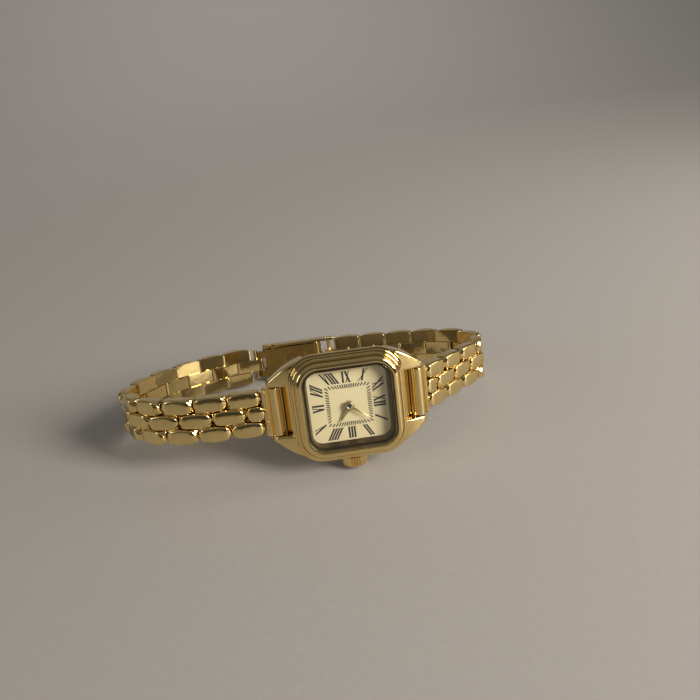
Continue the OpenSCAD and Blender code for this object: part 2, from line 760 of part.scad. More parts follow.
// The yoke that rides in the groove of the stem and clicks at each crown place
module stem_yoke() {
    color(STEEL) head() difference() {
        translate([groove_x - groove_w/2 + fit, -1.6, stem_z - 0.15])
            cube([groove_w - 2*fit, 1.6 + 0.15, 0.3]);
        translate([0, 0, stem_z]) rod_x(stem_r - 0.15 + fit, groove_x - 1, groove_x + 1);
    }
}

module case_back() {
    color(STEEL) head() difference() {
        union() {
            slab(case_wid - 4*case_step, case_len - 4*case_step, case_corner - 2*case_step, -back_t/2, 0);
            slab(case_wid - 5*case_step, case_len - 5*case_step, case_corner - 2.5*case_step,
                -back_t, -back_t/2);
            frame_ring(cav_wid - 2*seat, cav_len - 2*seat, cav_corner - seat,
                cav_wid - 1, cav_len - 1, cav_corner - 0.5, 0, holder_z);
        }
        translate([0, -case_len/2 + 0.9, -back_t/2]) cube([3, 0.6, 0.3], center = true);
    }
}

module case_back_gasket() {
    color("#22211f") head()
        frame_ring(cav_wid + 1.4 - 2*seat, cav_len + 1.4 - 2*seat, cav_corner + 0.7 - seat,
            cav_wid + 2*seat, cav_len + 2*seat, cav_corner + seat, 0, 0.3);
}

// Two telescopic bars that hold the bracelet between the lugs
module spring_bars() {
    color(STEEL) head() for (sy = [-1, 1]) translate([0, sy*lug_reach, bar_z]) {
        rod_x(bar_r, -end_w/2 + 0.2, end_w/2 - 0.2);
        rod_x(bar_tip_r, -lug_gap/2 - bar_tip_len, lug_gap/2 + bar_tip_len);
        for (s = [-1, 1]) translate([s*(end_w/2 - 0.1), 0, 0]) rod_x(bar_r - 0.12, -0.1, 0.1);
    }
}

// Plan of a brick: round corners and two long sides that bulge like a barrel's
module brick_plan(l, w) {
    r = (pow(l/2, 2) + pow(brick_bow, 2))/(2*brick_bow);
    bulge = row_gap*2/3;
    intersection() {
        rounded(l, w + 2*bulge, brick_corner);
        lens(r, r - w/2 - bulge);
    }
}

// Where two large circles, moved apart by d each way, overlap
module lens(r, d) {
    intersection() {
        translate([0, d]) circle(r = r, $fn = 240);
        translate([0, -d]) circle(r = r, $fn = 240);
    }
}

// Side view of a brick, flat towards the wrist and falling away at both ends outside
module brick_side(x0, x1) {
    polygon([[x0, half_t - 0.2], [x0 + 0.2, half_t], [x1 - 0.2, half_t], [x1, half_t - 0.2],
        [x1, -half_t + dome], [x1 - 0.5, -half_t + dome/3], [x1 - 1.3, -half_t],
        [x0 + 1.3, -half_t], [x0 + 0.5, -half_t + dome/3], [x0, -half_t + dome]]);
}

// A brick: its side view cut with its plan. The end near the pin, which points to dir,
// is round about that pin, so that it turns close to the flat end of its neighbour
module brick(x0, x1, z, w, pin_x, dir) {
    intersection() {
        translate([0, 0, z - w]) linear_extrude(2*w) intersection() {
            brick_side(x0, x1);
            union() {
                translate([pin_x, 0]) circle(r = end_r, $fn = 96);
                translate([pin_x + (dir > 0 ? -2*pitch : 0), -link_t]) square([2*pitch, 2*link_t]);
            }
        }
        translate([(x0 + x1)/2, link_t, z]) rotate([90, 0, 0])
            linear_extrude(2*link_t) brick_plan(x1 - x0, w);
    }
}

// A nose: the middle brick, bored for the pin of the next link
module nose(x0, bore_x) {
    difference() {
        brick(x0, bore_x + end_r, 0, mid_w, bore_x, 1);
        translate([bore_x, 0, 0]) cylinder(r = pin_r + fit, h = band_w, center = true);
    }
}

// One link with its pin; x runs along the chain and the pin is at the origin
module link() {
    difference() {
        union() {
            for (s = [-1, 1]) brick(-end_r, stop_x, s*side_z, side_w, 0, -1);
            translate([nose_start + 0.2, -web_t/2, -mid_w/2 - row_gap - web_in])
                cube([stop_x - nose_start - 0.4, web_t, mid_w + 2*row_gap + 2*web_in]);
            nose(nose_start, pitch);
        }
        translate([0, 0, -pin_half - press]) cylinder(r = pin_r + press, h = 2*(pin_half + press));
    }
    translate([0, 0, -pin_half]) cylinder(r = pin_r, h = 2*pin_half);
}

// The end piece at the lugs: a barrel on the spring bar, a plate and the first nose
module end_piece() {
    plate_stop = end_len - pitch/4 - end_gap/2;
    difference() {
        union() {
            cylinder(r = half_t, h = end_w, center = true);
            translate([0, -half_t + 0.35, -end_w/2]) cube([plate_stop, link_t - 0.6, end_w]);
            translate([plate_stop - 0.6, -web_t/2, -mid_w/2]) cube([1.2, web_t, mid_w]);
            nose(plate_stop - 0.3, end_len);
        }
        cylinder(r = spring_r + fit, h = end_w + 1, center = true);
    }
}

// Puts a piece at a pin of the 12 o'clock chain, or mirrored at one of the 6 o'clock chain
module on_chain(at, turn, side) {
    lying() translate([at[0], at[1], 0]) mirror([side < 0 ? 1 : 0, 0, 0])
        rotate([0, 0, turn]) children();
}

module link_12(i) {
    color(GOLD) on_chain(pins_12[i - 1], head_12[i], 1) link();
}

module link_6(i) {
    color(GOLD) on_chain(pins_6[i - 1], head_6[i], -1) {
        link();
        if (i == n_6) translate([pitch, 0, 0]) open_pin();
    }
}

// The pin that the clasp's open ears close on, pressed into the last nose
module open_pin() {
    cylinder(r = pin_r - press, h = 2*open_pin_half, center = true);
}

module end_link_12() {
    color(GOLD) on_chain(bar_12, turn_12, 1) end_piece();
}

module end_link_6() {
    color(GOLD) on_chain(bar_6, turn_6, -1) end_piece();
}

// The clasp lies along x from the last pin of the 12 o'clock chain, y away from the wrist
module on_clasp() {
    lying() translate([clasp_from[0], clasp_from[1], 0]) rotate([0, 0, clasp_turn])
        mirror([0, 1, 0]) children();
}

module clasp_cover() {
    color(GOLD) on_clasp() {
        difference() {
            union() {
                translate([nose_start + 0.1, cover_skin - clasp_t, -cover_half])
                    cube([cover_stop - nose_start - 0.1, clasp_t, 2*cover_half]);
                for (s = [-1, 1]) translate([0, 0, s*(cover_half - clasp_t/2) - clasp_t/2])
                    linear_extrude(clasp_t)
                        polygon([[start_x, -half_t + 0.3], [start_x + 0.4, -half_t], [wall_stop, -half_t],
                            [wall_stop, 0.2], [cover_stop, 0.4], [cover_stop, cover_skin],
                            [nose_start + 0.1, cover_skin], [start_x, half_t - 0.4]]);
            }
            cylinder(r = pin_r + press, h = 2*cover_half + 1, center = true);
            translate([blade_pin_x, -blade_pin_y, 0])
                cylinder(r = pin_r + press, h = 2*cover_half + 1, center = true);
            for (s = [-1, 1]) translate([stud_x - stud_r - 0.1, -half_t - 1, s*cover_half - 1])
                cube([2*stud_r + 0.2, 1 + half_t + blade_stud_y + stud_r + 0.1, 2]);
        }
        cylinder(r = pin_r, h = 2*cover_half - 0.1, center = true);
        translate([blade_pin_x, -blade_pin_y, 0])
            cylinder(r = pin_r, h = 2*cover_half - 0.1, center = true);
    }
}

module clasp_blade() {
    color(GOLD) on_clasp() {
        difference() {
            union() {
                translate([blade_pin_x, -blade_y - clasp_t, -blade_half])
                    cube([leaf_stop - blade_pin_x, clasp_t, 2*blade_half]);
                translate([blade_pin_x, -blade_pin_y, 0])
                    cylinder(r = knuckle_r + 0.25, h = 2*blade_half, center = true);
                for (s = [-1, 1]) translate([0, 0, s*(ear_gap + ear_w/2) - ear_w/2]) linear_extrude(ear_w)
                    polygon([[ear_stop - ear_len, -blade_y - clasp_t],
                        [ear_stop - ear_back, -blade_y - clasp_t], [ear_stop, -ear_half],
                        [ear_stop, ear_half], [ear_stop - 2*ear_back, ear_half],
                        [ear_stop - ear_len, -blade_y]]);
                for (s = [-1, 1]) translate([stud_x, blade_stud_y, s*(blade_half + 0.2)])
                    cylinder(r = stud_r, h = 0.6, center = true);
            }
            translate([blade_pin_x, -blade_pin_y, 0])
                cylinder(r = pin_r + fit, h = 2*cover_half, center = true);
            translate([clasp_len, 0, 0]) cylinder(r = ear_bite_r, h = 2*cover_half, center = true);
        }
    }
}

case_body();
bezel();
crystal();
crystal_gasket();
rehaut();
dial();
dial_print();
hour_hand();
minute_hand();
cannon_pinion();
hour_wheel();
minute_wheel();
centre_wheel();
third_wheel();
rotor();
stator();
coil();
circuit_board();
main_plate();
train_bridge();
movement_screws();
movement_holder();
battery();
battery_clamp();
crown();
crown_gasket();
crown_tube();
stem();
stem_yoke();
case_back();
case_back_gasket();
spring_bars();
end_link_12();
link_12(1);  // link_12_1
link_12(2);  // link_12_2
link_12(3);  // link_12_3
link_12(4);  // link_12_4
link_12(5);  // link_12_5
link_12(6);  // link_12_6
link_12(7);  // link_12_7
link_12(8);  // link_12_8
link_12(9);  // link_12_9
link_12(10);  // link_12_10
end_link_6();
link_6(1);  // link_6_1
link_6(2);  // link_6_2
link_6(3);  // link_6_3
link_6(4);  // link_6_4
link_6(5);  // link_6_5
link_6(6);  // link_6_6
link_6(7);  // link_6_7
link_6(8);  // link_6_8
link_6(9);  // link_6_9
link_6(10);  // link_6_10
link_6(11);  // link_6_11
clasp_cover();
clasp_blade();
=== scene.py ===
# Small square bracelet wristwatch, closed and lying on its side on a pale floor.
import math

import bmesh
import bpy
from mathutils import Matrix, Vector


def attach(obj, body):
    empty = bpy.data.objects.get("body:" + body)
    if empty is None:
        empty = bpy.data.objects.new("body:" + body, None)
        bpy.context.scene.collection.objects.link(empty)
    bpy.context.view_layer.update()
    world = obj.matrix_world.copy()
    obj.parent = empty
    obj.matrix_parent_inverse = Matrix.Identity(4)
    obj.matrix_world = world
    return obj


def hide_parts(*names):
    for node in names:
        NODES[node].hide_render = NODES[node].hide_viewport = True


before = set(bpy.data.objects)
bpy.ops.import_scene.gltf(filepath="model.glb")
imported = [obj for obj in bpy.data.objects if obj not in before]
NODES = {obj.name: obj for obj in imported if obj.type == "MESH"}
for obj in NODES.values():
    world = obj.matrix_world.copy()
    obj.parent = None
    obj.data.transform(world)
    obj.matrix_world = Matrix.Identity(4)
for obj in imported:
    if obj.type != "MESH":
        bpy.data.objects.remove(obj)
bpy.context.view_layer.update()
MM = 0.001
MICRON = 0.000001
SAME_POINT = 0.001 * MM

# ---------------------------------------------------------------- sizes, in mm
# head: z is 0 on the case's underside and grows out of the dial
CASE_LEN, CASE_WID, CASE_R, CASE_H = 20.4, 20.0, 4.8, 4.2
FLANGE_T, CASE_STEP, BACK_T = 0.8, 0.5, 0.7
CAV_LEN, CAV_WID, CAV_R = 15.6, 15.0, 3.2
LUG_REACH, LUG_W, BAR_Z = 13.0, 1.3, 1.4
CRYSTAL_LEN, CRYSTAL_WID, CRYSTAL_R, CRYSTAL_T = 15.8, 15.1, 3.0, 1.0
GASKET_T, RING_W, RING2_W, BEZEL_H = 0.15, 1.05, 0.6, 1.95
SHOW_LEN, SHOW_WID, DIAL_T, DIAL_Z = 14.2, 13.2, 0.4, 3.75
MINUTE_LEN, HOUR_LEN, HAND_T, SHOWN_MINUTES = 4.5, 3.6, 0.15, 6.3
HOUR_WIDE, MINUTE_WIDE, MINUTE_BOSS = 0.95, 0.5, 0.85
NUMERAL_H, PRINT_T = 2.1, 0.02
CROWN_D, CROWN_LEN, CROWN_TEETH, CROWN_ROUND = 4.6, 2.15, 26, 0.6
STEM_D, STEM_Z = 0.7, 1.75
CANNON_R, PIPE_R, TUBE_R = 0.35, 0.6, 0.95
# bracelet
BAND_W, END_W, MID_W, PITCH, LINK_T = 8.4, 9.0, 2.7, 6.1, 2.2
END_GAP, ROW_GAP, PIN_R, END_LEN = 0.4, 0.12, 0.45, 3.9
BAR_R, CLASP_LEN, CLASP_T = 0.65, 17.5, 0.6
# play of turning parts, overlap of pressed parts, gap of parts that lie in a seat
FIT, PRESS, SEAT = 0.05, 0.01, 0.05

FLANGE_Z = CASE_H - FLANGE_T
LOW_Z = 1.2
BEZEL_TOP = CASE_H + BEZEL_H
TOP_Z = DIAL_Z + SEAT
CRYSTAL_Z = BEZEL_TOP - CRYSTAL_T - 0.1
POCKET_LEN = CRYSTAL_LEN + 2 * GASKET_T + 2 * SEAT
POCKET_WID = CRYSTAL_WID + 2 * GASKET_T + 2 * SEAT
POCKET_R = CRYSTAL_R + GASKET_T + SEAT
LEDGE_LEN, LEDGE_WID, LEDGE_R = CRYSTAL_LEN - 0.8, CRYSTAL_WID - 0.9, CRYSTAL_R - 0.4
RING_Z, RING2_Z = CASE_H + 1.05, CASE_H + 0.4
LUG_GAP = END_W + 0.3
LUG_TIP = LUG_REACH + 1.15
HOUR_Z = DIAL_Z + 0.3
MINUTE_Z = HOUR_Z + HAND_T + 0.2
CROWN_X = CASE_WID / 2 + 0.12
CROWN_TOP = CROWN_X + CROWN_LEN
CROWN_BORE = TUBE_R + 0.4
HALF_T = LINK_T / 2
SHOULDER = LUG_REACH - HALF_T - 0.4
SHOULDER_TOP, LIP_R = CASE_LEN / 2 + 0.3, HALF_T + 0.25
SIDE_W = (BAND_W - MID_W) / 2 - ROW_GAP
SIDE_Z = MID_W / 2 + ROW_GAP + SIDE_W / 2
PIN_HALF = BAND_W / 2 - 0.5
START_X = -PITCH / 4 + END_GAP / 2
STOP_X = 3 * PITCH / 4 - END_GAP / 2
NOSE_START = PITCH / 4 + END_GAP / 2
END_R = PITCH / 4 + END_GAP / 2 - ROW_GAP
NEST_R = NOSE_START
COVER_HALF = BAND_W / 2 + 0.1
COVER_SKIN = HALF_T + 0.15
COVER_START = NOSE_START + 0.1
COVER_STOP = CLASP_LEN - NOSE_START - 0.1
WALL_STOP = CLASP_LEN - 2.4
BLADE_PIN = (NOSE_START + 1.3, -0.35)
BLADE_HALF = COVER_HALF - CLASP_T - 0.25
BLADE_Y = HALF_T - CLASP_T - 0.1
KNUCKLE_R = 0.6
STUD_X, STUD_R = CLASP_LEN - 4.2, 0.3
EAR_GAP = MID_W / 2 + 0.15
EAR_STOP = CLASP_LEN - PIN_R
# heading of each end piece, then the bend at each link, in degrees
TURN_12, TURN_6 = 44, 3
BENDS_12 = [0, 0, 0, 34, 37, 33, 14, 5, 3, 2]
BENDS_6 = [0, 4, 12, 21, 23, 36, 20, 14, 13, 12, 10]

# plans of rounded rectangles: half width, half length, corner radius
CASE = (CASE_WID / 2, CASE_LEN / 2, CASE_R)
CAVITY = (CAV_WID / 2, CAV_LEN / 2, CAV_R)
LEDGE = (LEDGE_WID / 2, LEDGE_LEN / 2, LEDGE_R)
POCKET = (POCKET_WID / 2, POCKET_LEN / 2, POCKET_R)
CRYSTAL = (CRYSTAL_WID / 2, CRYSTAL_LEN / 2, CRYSTAL_R)
SHOW = (SHOW_WID / 2, SHOW_LEN / 2, LEDGE_R - 0.8)


# ------------------------------------------------- the two arms of the bracelet
def step(angle, length):
    return Vector((length * math.cos(math.radians(angle)), length * math.sin(math.radians(angle))))


def arm(turn, bends, more):
    """The heading of each piece of one arm and its pins, seen from its spring bar."""
    heads, pins = [turn], [step(turn, END_LEN)]
    for i in range(1, len(bends) + 1):
        heads.append(turn + sum(bends[:i]) + i * more)
        pins.append(pins[-1] + step(heads[-1], PITCH))
    return heads, pins


BAR_12, BAR_6 = Vector((LUG_REACH, -BAR_Z)), Vector((-LUG_REACH, -BAR_Z))


def flip(p):
    return Vector((-p[0], p[1]))


def open_by(more):
    """How much too long the way between the arms' ends is for the clasp."""
    a = BAR_12 + arm(TURN_12, BENDS_12, more)[1][-1]
    b = BAR_6 + flip(arm(TURN_6, BENDS_6, more)[1][-1])
    return (a - b).length - CLASP_LEN


# the same small extra bend at every link closes the chain
low, high = -6.0, 6.0
for _ in range(40):
    mid = (low + high) / 2
    low, high = (mid, high) if open_by(mid) > 0 else (low, mid)
MORE = (low + high) / 2
HEAD_12, pins = arm(TURN_12, BENDS_12, MORE)
PINS_12 = [BAR_12 + p for p in pins]
HEAD_6, pins = arm(TURN_6, BENDS_6, MORE)
PINS_6 = [BAR_6 + flip(p) for p in pins]
CLASP_FROM, CLASP_TO = PINS_12[-1], PINS_6[-1]
CLASP_TURN = math.atan2(CLASP_TO[1] - CLASP_FROM[1], CLASP_TO[0] - CLASP_FROM[0])

# ------------------------------------------------------- how the watch is lying
# it rests on the rim of the crown and on the lower edge of the clasp's cover
cover_ends = [CLASP_FROM[1] + x * math.sin(CLASP_TURN) for x in (COVER_START, COVER_STOP)]
BACK_Y = max(cover_ends) + COVER_SKIN * abs(math.cos(CLASP_TURN))
CROWN_Y = CROWN_D / 2 - CROWN_ROUND - STEM_Z
TILT = math.atan((CROWN_TOP - COVER_HALF) / (BACK_Y - CROWN_Y))
far_x = [p[0] for p in PINS_12 + PINS_6]
SHIFT_X = -(max(far_x) + min(far_x)) / 2
FRONT_Y = -BEZEL_TOP * math.cos(TILT) - (POCKET_WID / 2 + RING_W) * math.sin(TILT)
REAR_Y = BACK_Y * math.cos(TILT) + COVER_HALF * math.sin(TILT)
SHIFT_Y = -(FRONT_Y + REAR_Y) / 2
SHIFT_Z = CROWN_TOP * math.cos(TILT) + CROWN_Y * math.sin(TILT)
LYING = Matrix.Translation((SHIFT_X, SHIFT_Y, SHIFT_Z)) @ Matrix.Rotation(-TILT, 4, "X")
# head: x to 3 o'clock, y to 12 o'clock, z out of the dial
HEAD = LYING @ Matrix(((0, 1, 0, 0), (0, 0, -1, 0), (-1, 0, 0, 0), (0, 0, 0, 1)))


def plane_frame(at, x_axis, y_axis):
    x, y = Vector((*x_axis, 0)), Vector((*y_axis, 0))
    z = x.cross(y)
    m = Matrix((x, y, z)).transposed().to_4x4()
    return LYING @ Matrix.Translation((at[0], at[1], 0)) @ m


def link_frame(at, heading, side):
    """The frame of a link: pin at the origin, x along the arm, y to the inside, side 1 for 12 o'clock."""
    c, s = math.cos(math.radians(heading)), math.sin(math.radians(heading))
    return plane_frame(at, (side * c, s), (-side * s, c))


CLASP = plane_frame(CLASP_FROM, (math.cos(CLASP_TURN), math.sin(CLASP_TURN)),
                    (math.sin(CLASP_TURN), -math.cos(CLASP_TURN)))


# ------------------------------------------------------------------- materials
class Nodes:
    """A small helper to write a material's nodes down in order."""

    def __init__(self, name):
        self.mat = bpy.data.materials.new(name)
        self.mat.use_nodes = True
        self.tree = self.mat.node_tree
        self.bsdf = self.tree.nodes["Principled BSDF"]
        self.coord = self.tree.nodes.new("ShaderNodeTexCoord")

    def add(self, kind, **sockets):
        n = self.tree.nodes.new(kind)
        for k, v in sockets.items():
            n.inputs[k].default_value = v
        return n

    def link(self, a, b):
        self.tree.links.new(a, b)

    def noise(self, scale, detail=3.0, rough=0.5, stretch=None):
        n = self.add("ShaderNodeTexNoise", Scale=scale, Detail=detail, Roughness=rough)
        src = self.coord.outputs["Object"]
        if stretch:
            m = self.tree.nodes.new("ShaderNodeMapping")
            m.inputs["Scale"].default_value = stretch
            self.link(src, m.inputs["Vector"])
            src = m.outputs["Vector"]
        self.link(src, n.inputs["Vector"])
        return n.outputs["Fac"]

    def ramp(self, fac, low, dark, high, light):
        """Runs from dark at low to light at high."""
        r = self.tree.nodes.new("ShaderNodeValToRGB")
        first, last = r.color_ramp.elements
        first.position, first.color = low, dark
        last.position, last.color = high, light
        self.link(fac, r.inputs["Fac"])
        return r.outputs["Color"]

    def spread(self, fac, a, b):
        m = self.add("ShaderNodeMapRange")
        m.inputs["To Min"].default_value = a
        m.inputs["To Max"].default_value = b
        self.link(fac, m.inputs["Value"])
        return m.outputs["Result"]

    def bump(self, height, strength, distance):
        b = self.add("ShaderNodeBump", Strength=strength, Distance=distance)
        self.link(height, b.inputs["Height"])
        self.link(b.outputs["Normal"], self.bsdf.inputs["Normal"])
        return b


def rgb(r, g, b):
    return (r, g, b, 1)


WAVE_SCALE = 620.0


def metal(name, dark, light, rough, patch=400.0, wear=0.25, bump=10.0, stretch=None, wave=0.0):
    """Polished or brushed metal. Bump and wave are depths in microns: bump of the fine marks,
    wave of the slow unevenness of hand polishing."""
    n = Nodes(name)
    n.bsdf.inputs["Metallic"].default_value = 1.0
    n.link(n.ramp(n.noise(patch, 4.0, 0.6), 0.32, dark, 0.68, light), n.bsdf.inputs["Base Color"])
    n.link(n.spread(n.noise(patch * 9, 5.0, 0.65, stretch), *rough), n.bsdf.inputs["Roughness"])
    fine = n.bump(n.noise(patch * 5, 3.0, 0.5, stretch), wear, bump * MICRON)
    if wave:
        slow = n.add("ShaderNodeBump", Strength=1.0, Distance=wave * MICRON)
        n.link(n.noise(WAVE_SCALE, 1.0, 0.4), slow.inputs["Height"])
        n.link(slow.outputs["Normal"], fine.inputs["Normal"])
    return n.mat


def solid(name, dark, light, rough, patch=800.0, wear=0.3, bump=20.0):
    """Lacquer, ink, plastic or rubber. Bump is a depth in microns."""
    n = Nodes(name)
    n.link(n.ramp(n.noise(patch, 4.0, 0.6), 0.3, dark, 0.7, light), n.bsdf.inputs["Base Color"])
    n.link(n.spread(n.noise(patch * 6, 4.0, 0.6), *rough), n.bsdf.inputs["Roughness"])
    n.bump(n.noise(patch * 10, 4.0, 0.6), wear, bump * MICRON)
    return n.mat


def glass_material():
    """Clear crystal: lets light through but for a share that it mirrors, larger at grazing angles."""
    n = Nodes("crystal_glass")
    out = n.tree.nodes["Material Output"]
    n.tree.nodes.remove(n.bsdf)
    clear = n.add("ShaderNodeBsdfTransparent", Color=rgb(0.97, 0.98, 0.96))
    mirror = n.add("ShaderNodeBsdfGlossy", Roughness=0.03)
    n.link(n.ramp(n.noise(300.0), 0.3, rgb(0.92, 0.94, 0.96), 0.7, rgb(1, 1, 1)), mirror.inputs["Color"])
    edge = n.add("ShaderNodeLayerWeight", Blend=0.5)
    power = n.tree.nodes.new("ShaderNodeMath")
    power.operation = "POWER"
    power.inputs[1].default_value = 5.0
    n.link(edge.outputs["Facing"], power.inputs[0])
    mix = n.tree.nodes.new("ShaderNodeMixShader")
    n.link(n.spread(power.outputs[0], 0.035, 0.9), mix.inputs[0])
    n.link(clear.outputs[0], mix.inputs[1])
    n.link(mirror.outputs[0], mix.inputs[2])
    n.link(mix.outputs[0], out.inputs["Surface"])
    return n.mat


GOLD = metal("polished_gold", rgb(0.78, 0.58, 0.24), rgb(0.84, 0.64, 0.29), (0.05, 0.11),
             patch=350.0, wear=0.2, bump=4, wave=6)
GOLD_LINK = metal("polished_gold_links", rgb(0.77, 0.57, 0.23), rgb(0.84, 0.65, 0.29), (0.05, 0.12),
                  patch=500.0, bump=5, wave=22)
# painted shade: a darker copy of the gold for the clasp's blade, for the shade it lies in
BLADE_SHADE_GOLD = metal("blade_gold_painted_shade", rgb(0.42, 0.28, 0.085), rgb(0.50, 0.34, 0.115), (0.24, 0.36),
                   patch=600.0, wear=0.3, bump=6, stretch=(14, 1, 1))
GOLD_SATIN = metal("satin_gold", rgb(0.72, 0.51, 0.20), rgb(0.80, 0.59, 0.26), (0.24, 0.36),
                   patch=600.0, wear=0.3, bump=6, stretch=(1, 1, 14))
HAND_GOLD = metal("hand_gold", rgb(0.55, 0.43, 0.18), rgb(0.64, 0.51, 0.23), (0.36, 0.46),
                  patch=900.0, wear=0.2, bump=3)
# painted highlight: a paler copy of the gold for the small raised ring at the hands' hub
HUB_HIGHLIGHT_GOLD = metal("hub_painted_highlight", rgb(0.84, 0.72, 0.46), rgb(0.90, 0.79, 0.54), (0.22, 0.32),
                 patch=900.0, wear=0.2, bump=2)
# painted shade: a darkened copy of the gold for the recess round the dial, on the inner ring and the
# crystal's border
RING_SHADE = metal("dark_ring", rgb(0.085, 0.058, 0.024), rgb(0.13, 0.092, 0.040), (0.26, 0.38),
                  patch=500.0, wear=0.2, bump=4)
STEEL = metal("brushed_steel", rgb(0.50, 0.50, 0.50), rgb(0.60, 0.60, 0.60), (0.22, 0.34),
              patch=500.0, wear=0.3, bump=5, stretch=(1, 14, 1))
BACK_STEEL = metal("back_steel", rgb(0.55, 0.54, 0.53), rgb(0.64, 0.63, 0.62), (0.2, 0.32),
                   wear=0.3, bump=5, stretch=(16, 1, 1))
GEAR_BRASS = metal("gear_brass", rgb(0.62, 0.43, 0.17), rgb(0.72, 0.52, 0.23), (0.2, 0.3),
                   patch=700.0, bump=4)
MAGNET = metal("rotor_magnet", rgb(0.12, 0.125, 0.13), rgb(0.2, 0.205, 0.21), (0.35, 0.5), patch=900.0)
# painted shade: the arbor parts are a matt near-black instead of metal, for the shaded hole in the middle of
# the hands
ARBOR_SHADE = solid("arbor_painted_shade", rgb(0.020, 0.014, 0.012), rgb(0.035, 0.026, 0.022), (0.5, 0.62),
              patch=900.0, bump=2)
DIAL = solid("dial_lacquer", rgb(0.93, 0.75, 0.46), rgb(0.96, 0.79, 0.50), (0.42, 0.5),
             patch=260.0, wear=0.15, bump=2)
PRINT = solid("black_print", rgb(0.004, 0.004, 0.008), rgb(0.008, 0.008, 0.014), (0.5, 0.62),
              patch=900.0, wear=0.1, bump=1)
# painted shade: the crystal's gasket takes a dark brown gold tone, for the shaded gap round the crystal
GASKET_SHADE = solid("crystal_gasket_painted_shade", rgb(0.10, 0.075, 0.035), rgb(0.15, 0.115, 0.06), (0.4, 0.55))
RUBBER = solid("black_gasket", rgb(0.012, 0.012, 0.012), rgb(0.025, 0.025, 0.024), (0.6, 0.8))
COPPER = solid("coil_copper", rgb(0.42, 0.15, 0.05), rgb(0.55, 0.22, 0.08), (0.3, 0.45), patch=1200.0)
BOARD = solid("green_board", rgb(0.015, 0.10, 0.045), rgb(0.03, 0.14, 0.07), (0.35, 0.5))
PLASTIC = solid("holder_plastic", rgb(0.62, 0.60, 0.54), rgb(0.70, 0.68, 0.62), (0.5, 0.6))
GLASS = glass_material()


# ---------------------------------------------------------------- mesh helpers
TURNED_SIDES = 48


def new_object(name, verts, faces):
    me = bpy.data.meshes.new(name)
    me.from_pydata([tuple(v) for v in verts], [], faces)
    me.validate()
    bm = bmesh.new()
    bm.from_mesh(me)
    bmesh.ops.recalc_face_normals(bm, faces=bm.faces)
    bm.to_mesh(me)
    bm.free()
    o = bpy.data.objects.new(name, me)
    bpy.context.scene.collection.objects.link(o)
    return o


def loft(rings, closed=False, caps=True):
    """Vertices and faces through rings of equal length; closed joins the last ring to the first."""
    n = len(rings[0])
    verts = [p for r in rings for p in r]
    faces = []
    for i in range(len(rings) if closed else len(rings) - 1):
        a, b = i * n, ((i + 1) % len(rings)) * n
        faces += [(a + k, a + (k + 1) % n, b + (k + 1) % n, b + k) for k in range(n)]
    if caps and not closed:
        faces.append(tuple(range(n))[::-1])
        faces.append(tuple(range((len(rings) - 1) * n, len(rings) * n)))
    return verts, faces


def ring(plan, grow, z):
    """A rounded rectangle for sweep: a plan that is grown on all sides, at a height."""
    return (plan[0] + grow, plan[1] + grow, plan[2] + grow, z)


def rounded_path(hw, hl, r, z, arc=12):
    """A rounded rectangle in the head's plane."""
    pts = []
    for k, (sx, sy) in enumerate([(1, 1), (-1, 1), (-1, -1), (1, -1)]):
        for j in range(arc + 1):
            a = math.radians(90 * k + 90 * j / arc)
            pts.append((sx * (hw - r) + r * math.cos(a), sy * (hl - r) + r * math.sin(a), z))
    return pts


def sweep(name, rings, closed=True, arc=12):
    v, f = loft([rounded_path(*r, arc=arc) for r in rings], closed)
    return new_object(name, v, f)


def turned(profile, z=0.0):
    """A ring turned about z, from points of radius and height."""
    turn = [2 * math.pi * k / TURNED_SIDES for k in range(TURNED_SIDES)]
    return loft([[(r * math.cos(a), r * math.sin(a), z + h) for a in turn] for r, h in profile], closed=True)


def prism(name, outline, z0, z1):
    """An outline in x and y, drawn out along z."""
    v, f = loft([[(x, y, z0) for x, y in outline], [(x, y, z1) for x, y in outline]])
    return new_object(name, v, f)


def block(name, a, b):
    return prism(name, [(a[0], a[1]), (b[0], a[1]), (b[0], b[1]), (a[0], b[1])], a[2], b[2])


def rod(name, r, start, end, sides=40):
    """A cylinder between two points."""
    a, b = Vector(start), Vector(end)
    axis = (b - a).normalized()
    u = axis.orthogonal().normalized()
    w = axis.cross(u)
    turn = [(math.cos(2 * math.pi * k / sides), math.sin(2 * math.pi * k / sides)) for k in range(sides)]
    v, f = loft([[p + r * (c * u + s * w) for c, s in turn] for p in (a, b)])
    return new_object(name, v, f)


def cross_rod(name, r, at, half):
    """A cylinder along z through a point of a link's or the clasp's plane."""
    return rod(name, r, (at[0], at[1], -half), (at[0], at[1], half))


def one_side(s, near, far):
    """A stretch along z on the one side (s = 1) or mirrored on the other (s = -1)."""
    return sorted((s * near, s * far))


def bake(o):
    """Replaces the object's mesh with what its modifiers make."""
    dg = bpy.context.evaluated_depsgraph_get()
    me = bpy.data.meshes.new_from_object(o.evaluated_get(dg))
    o.modifiers.clear()
    o.data = me
    return o


def combine(o, tools, operation="UNION"):
    """Boolean of an object with others, which are used up."""
    for t in tools:
        m = o.modifiers.new("b", "BOOLEAN")
        m.operation, m.object, m.solver = operation, t, "MANIFOLD"
        bake(o)
        bpy.data.objects.remove(t)
    return o


def cut(o, tools):
    return combine(o, tools, "DIFFERENCE")


def bevel(o, width, angle=40):
    m = o.modifiers.new("v", "BEVEL")
    m.width, m.segments, m.limit_method = width, 2, "ANGLE"
    m.angle_limit = math.radians(angle)
    m.harden_normals = False
    return bake(o)


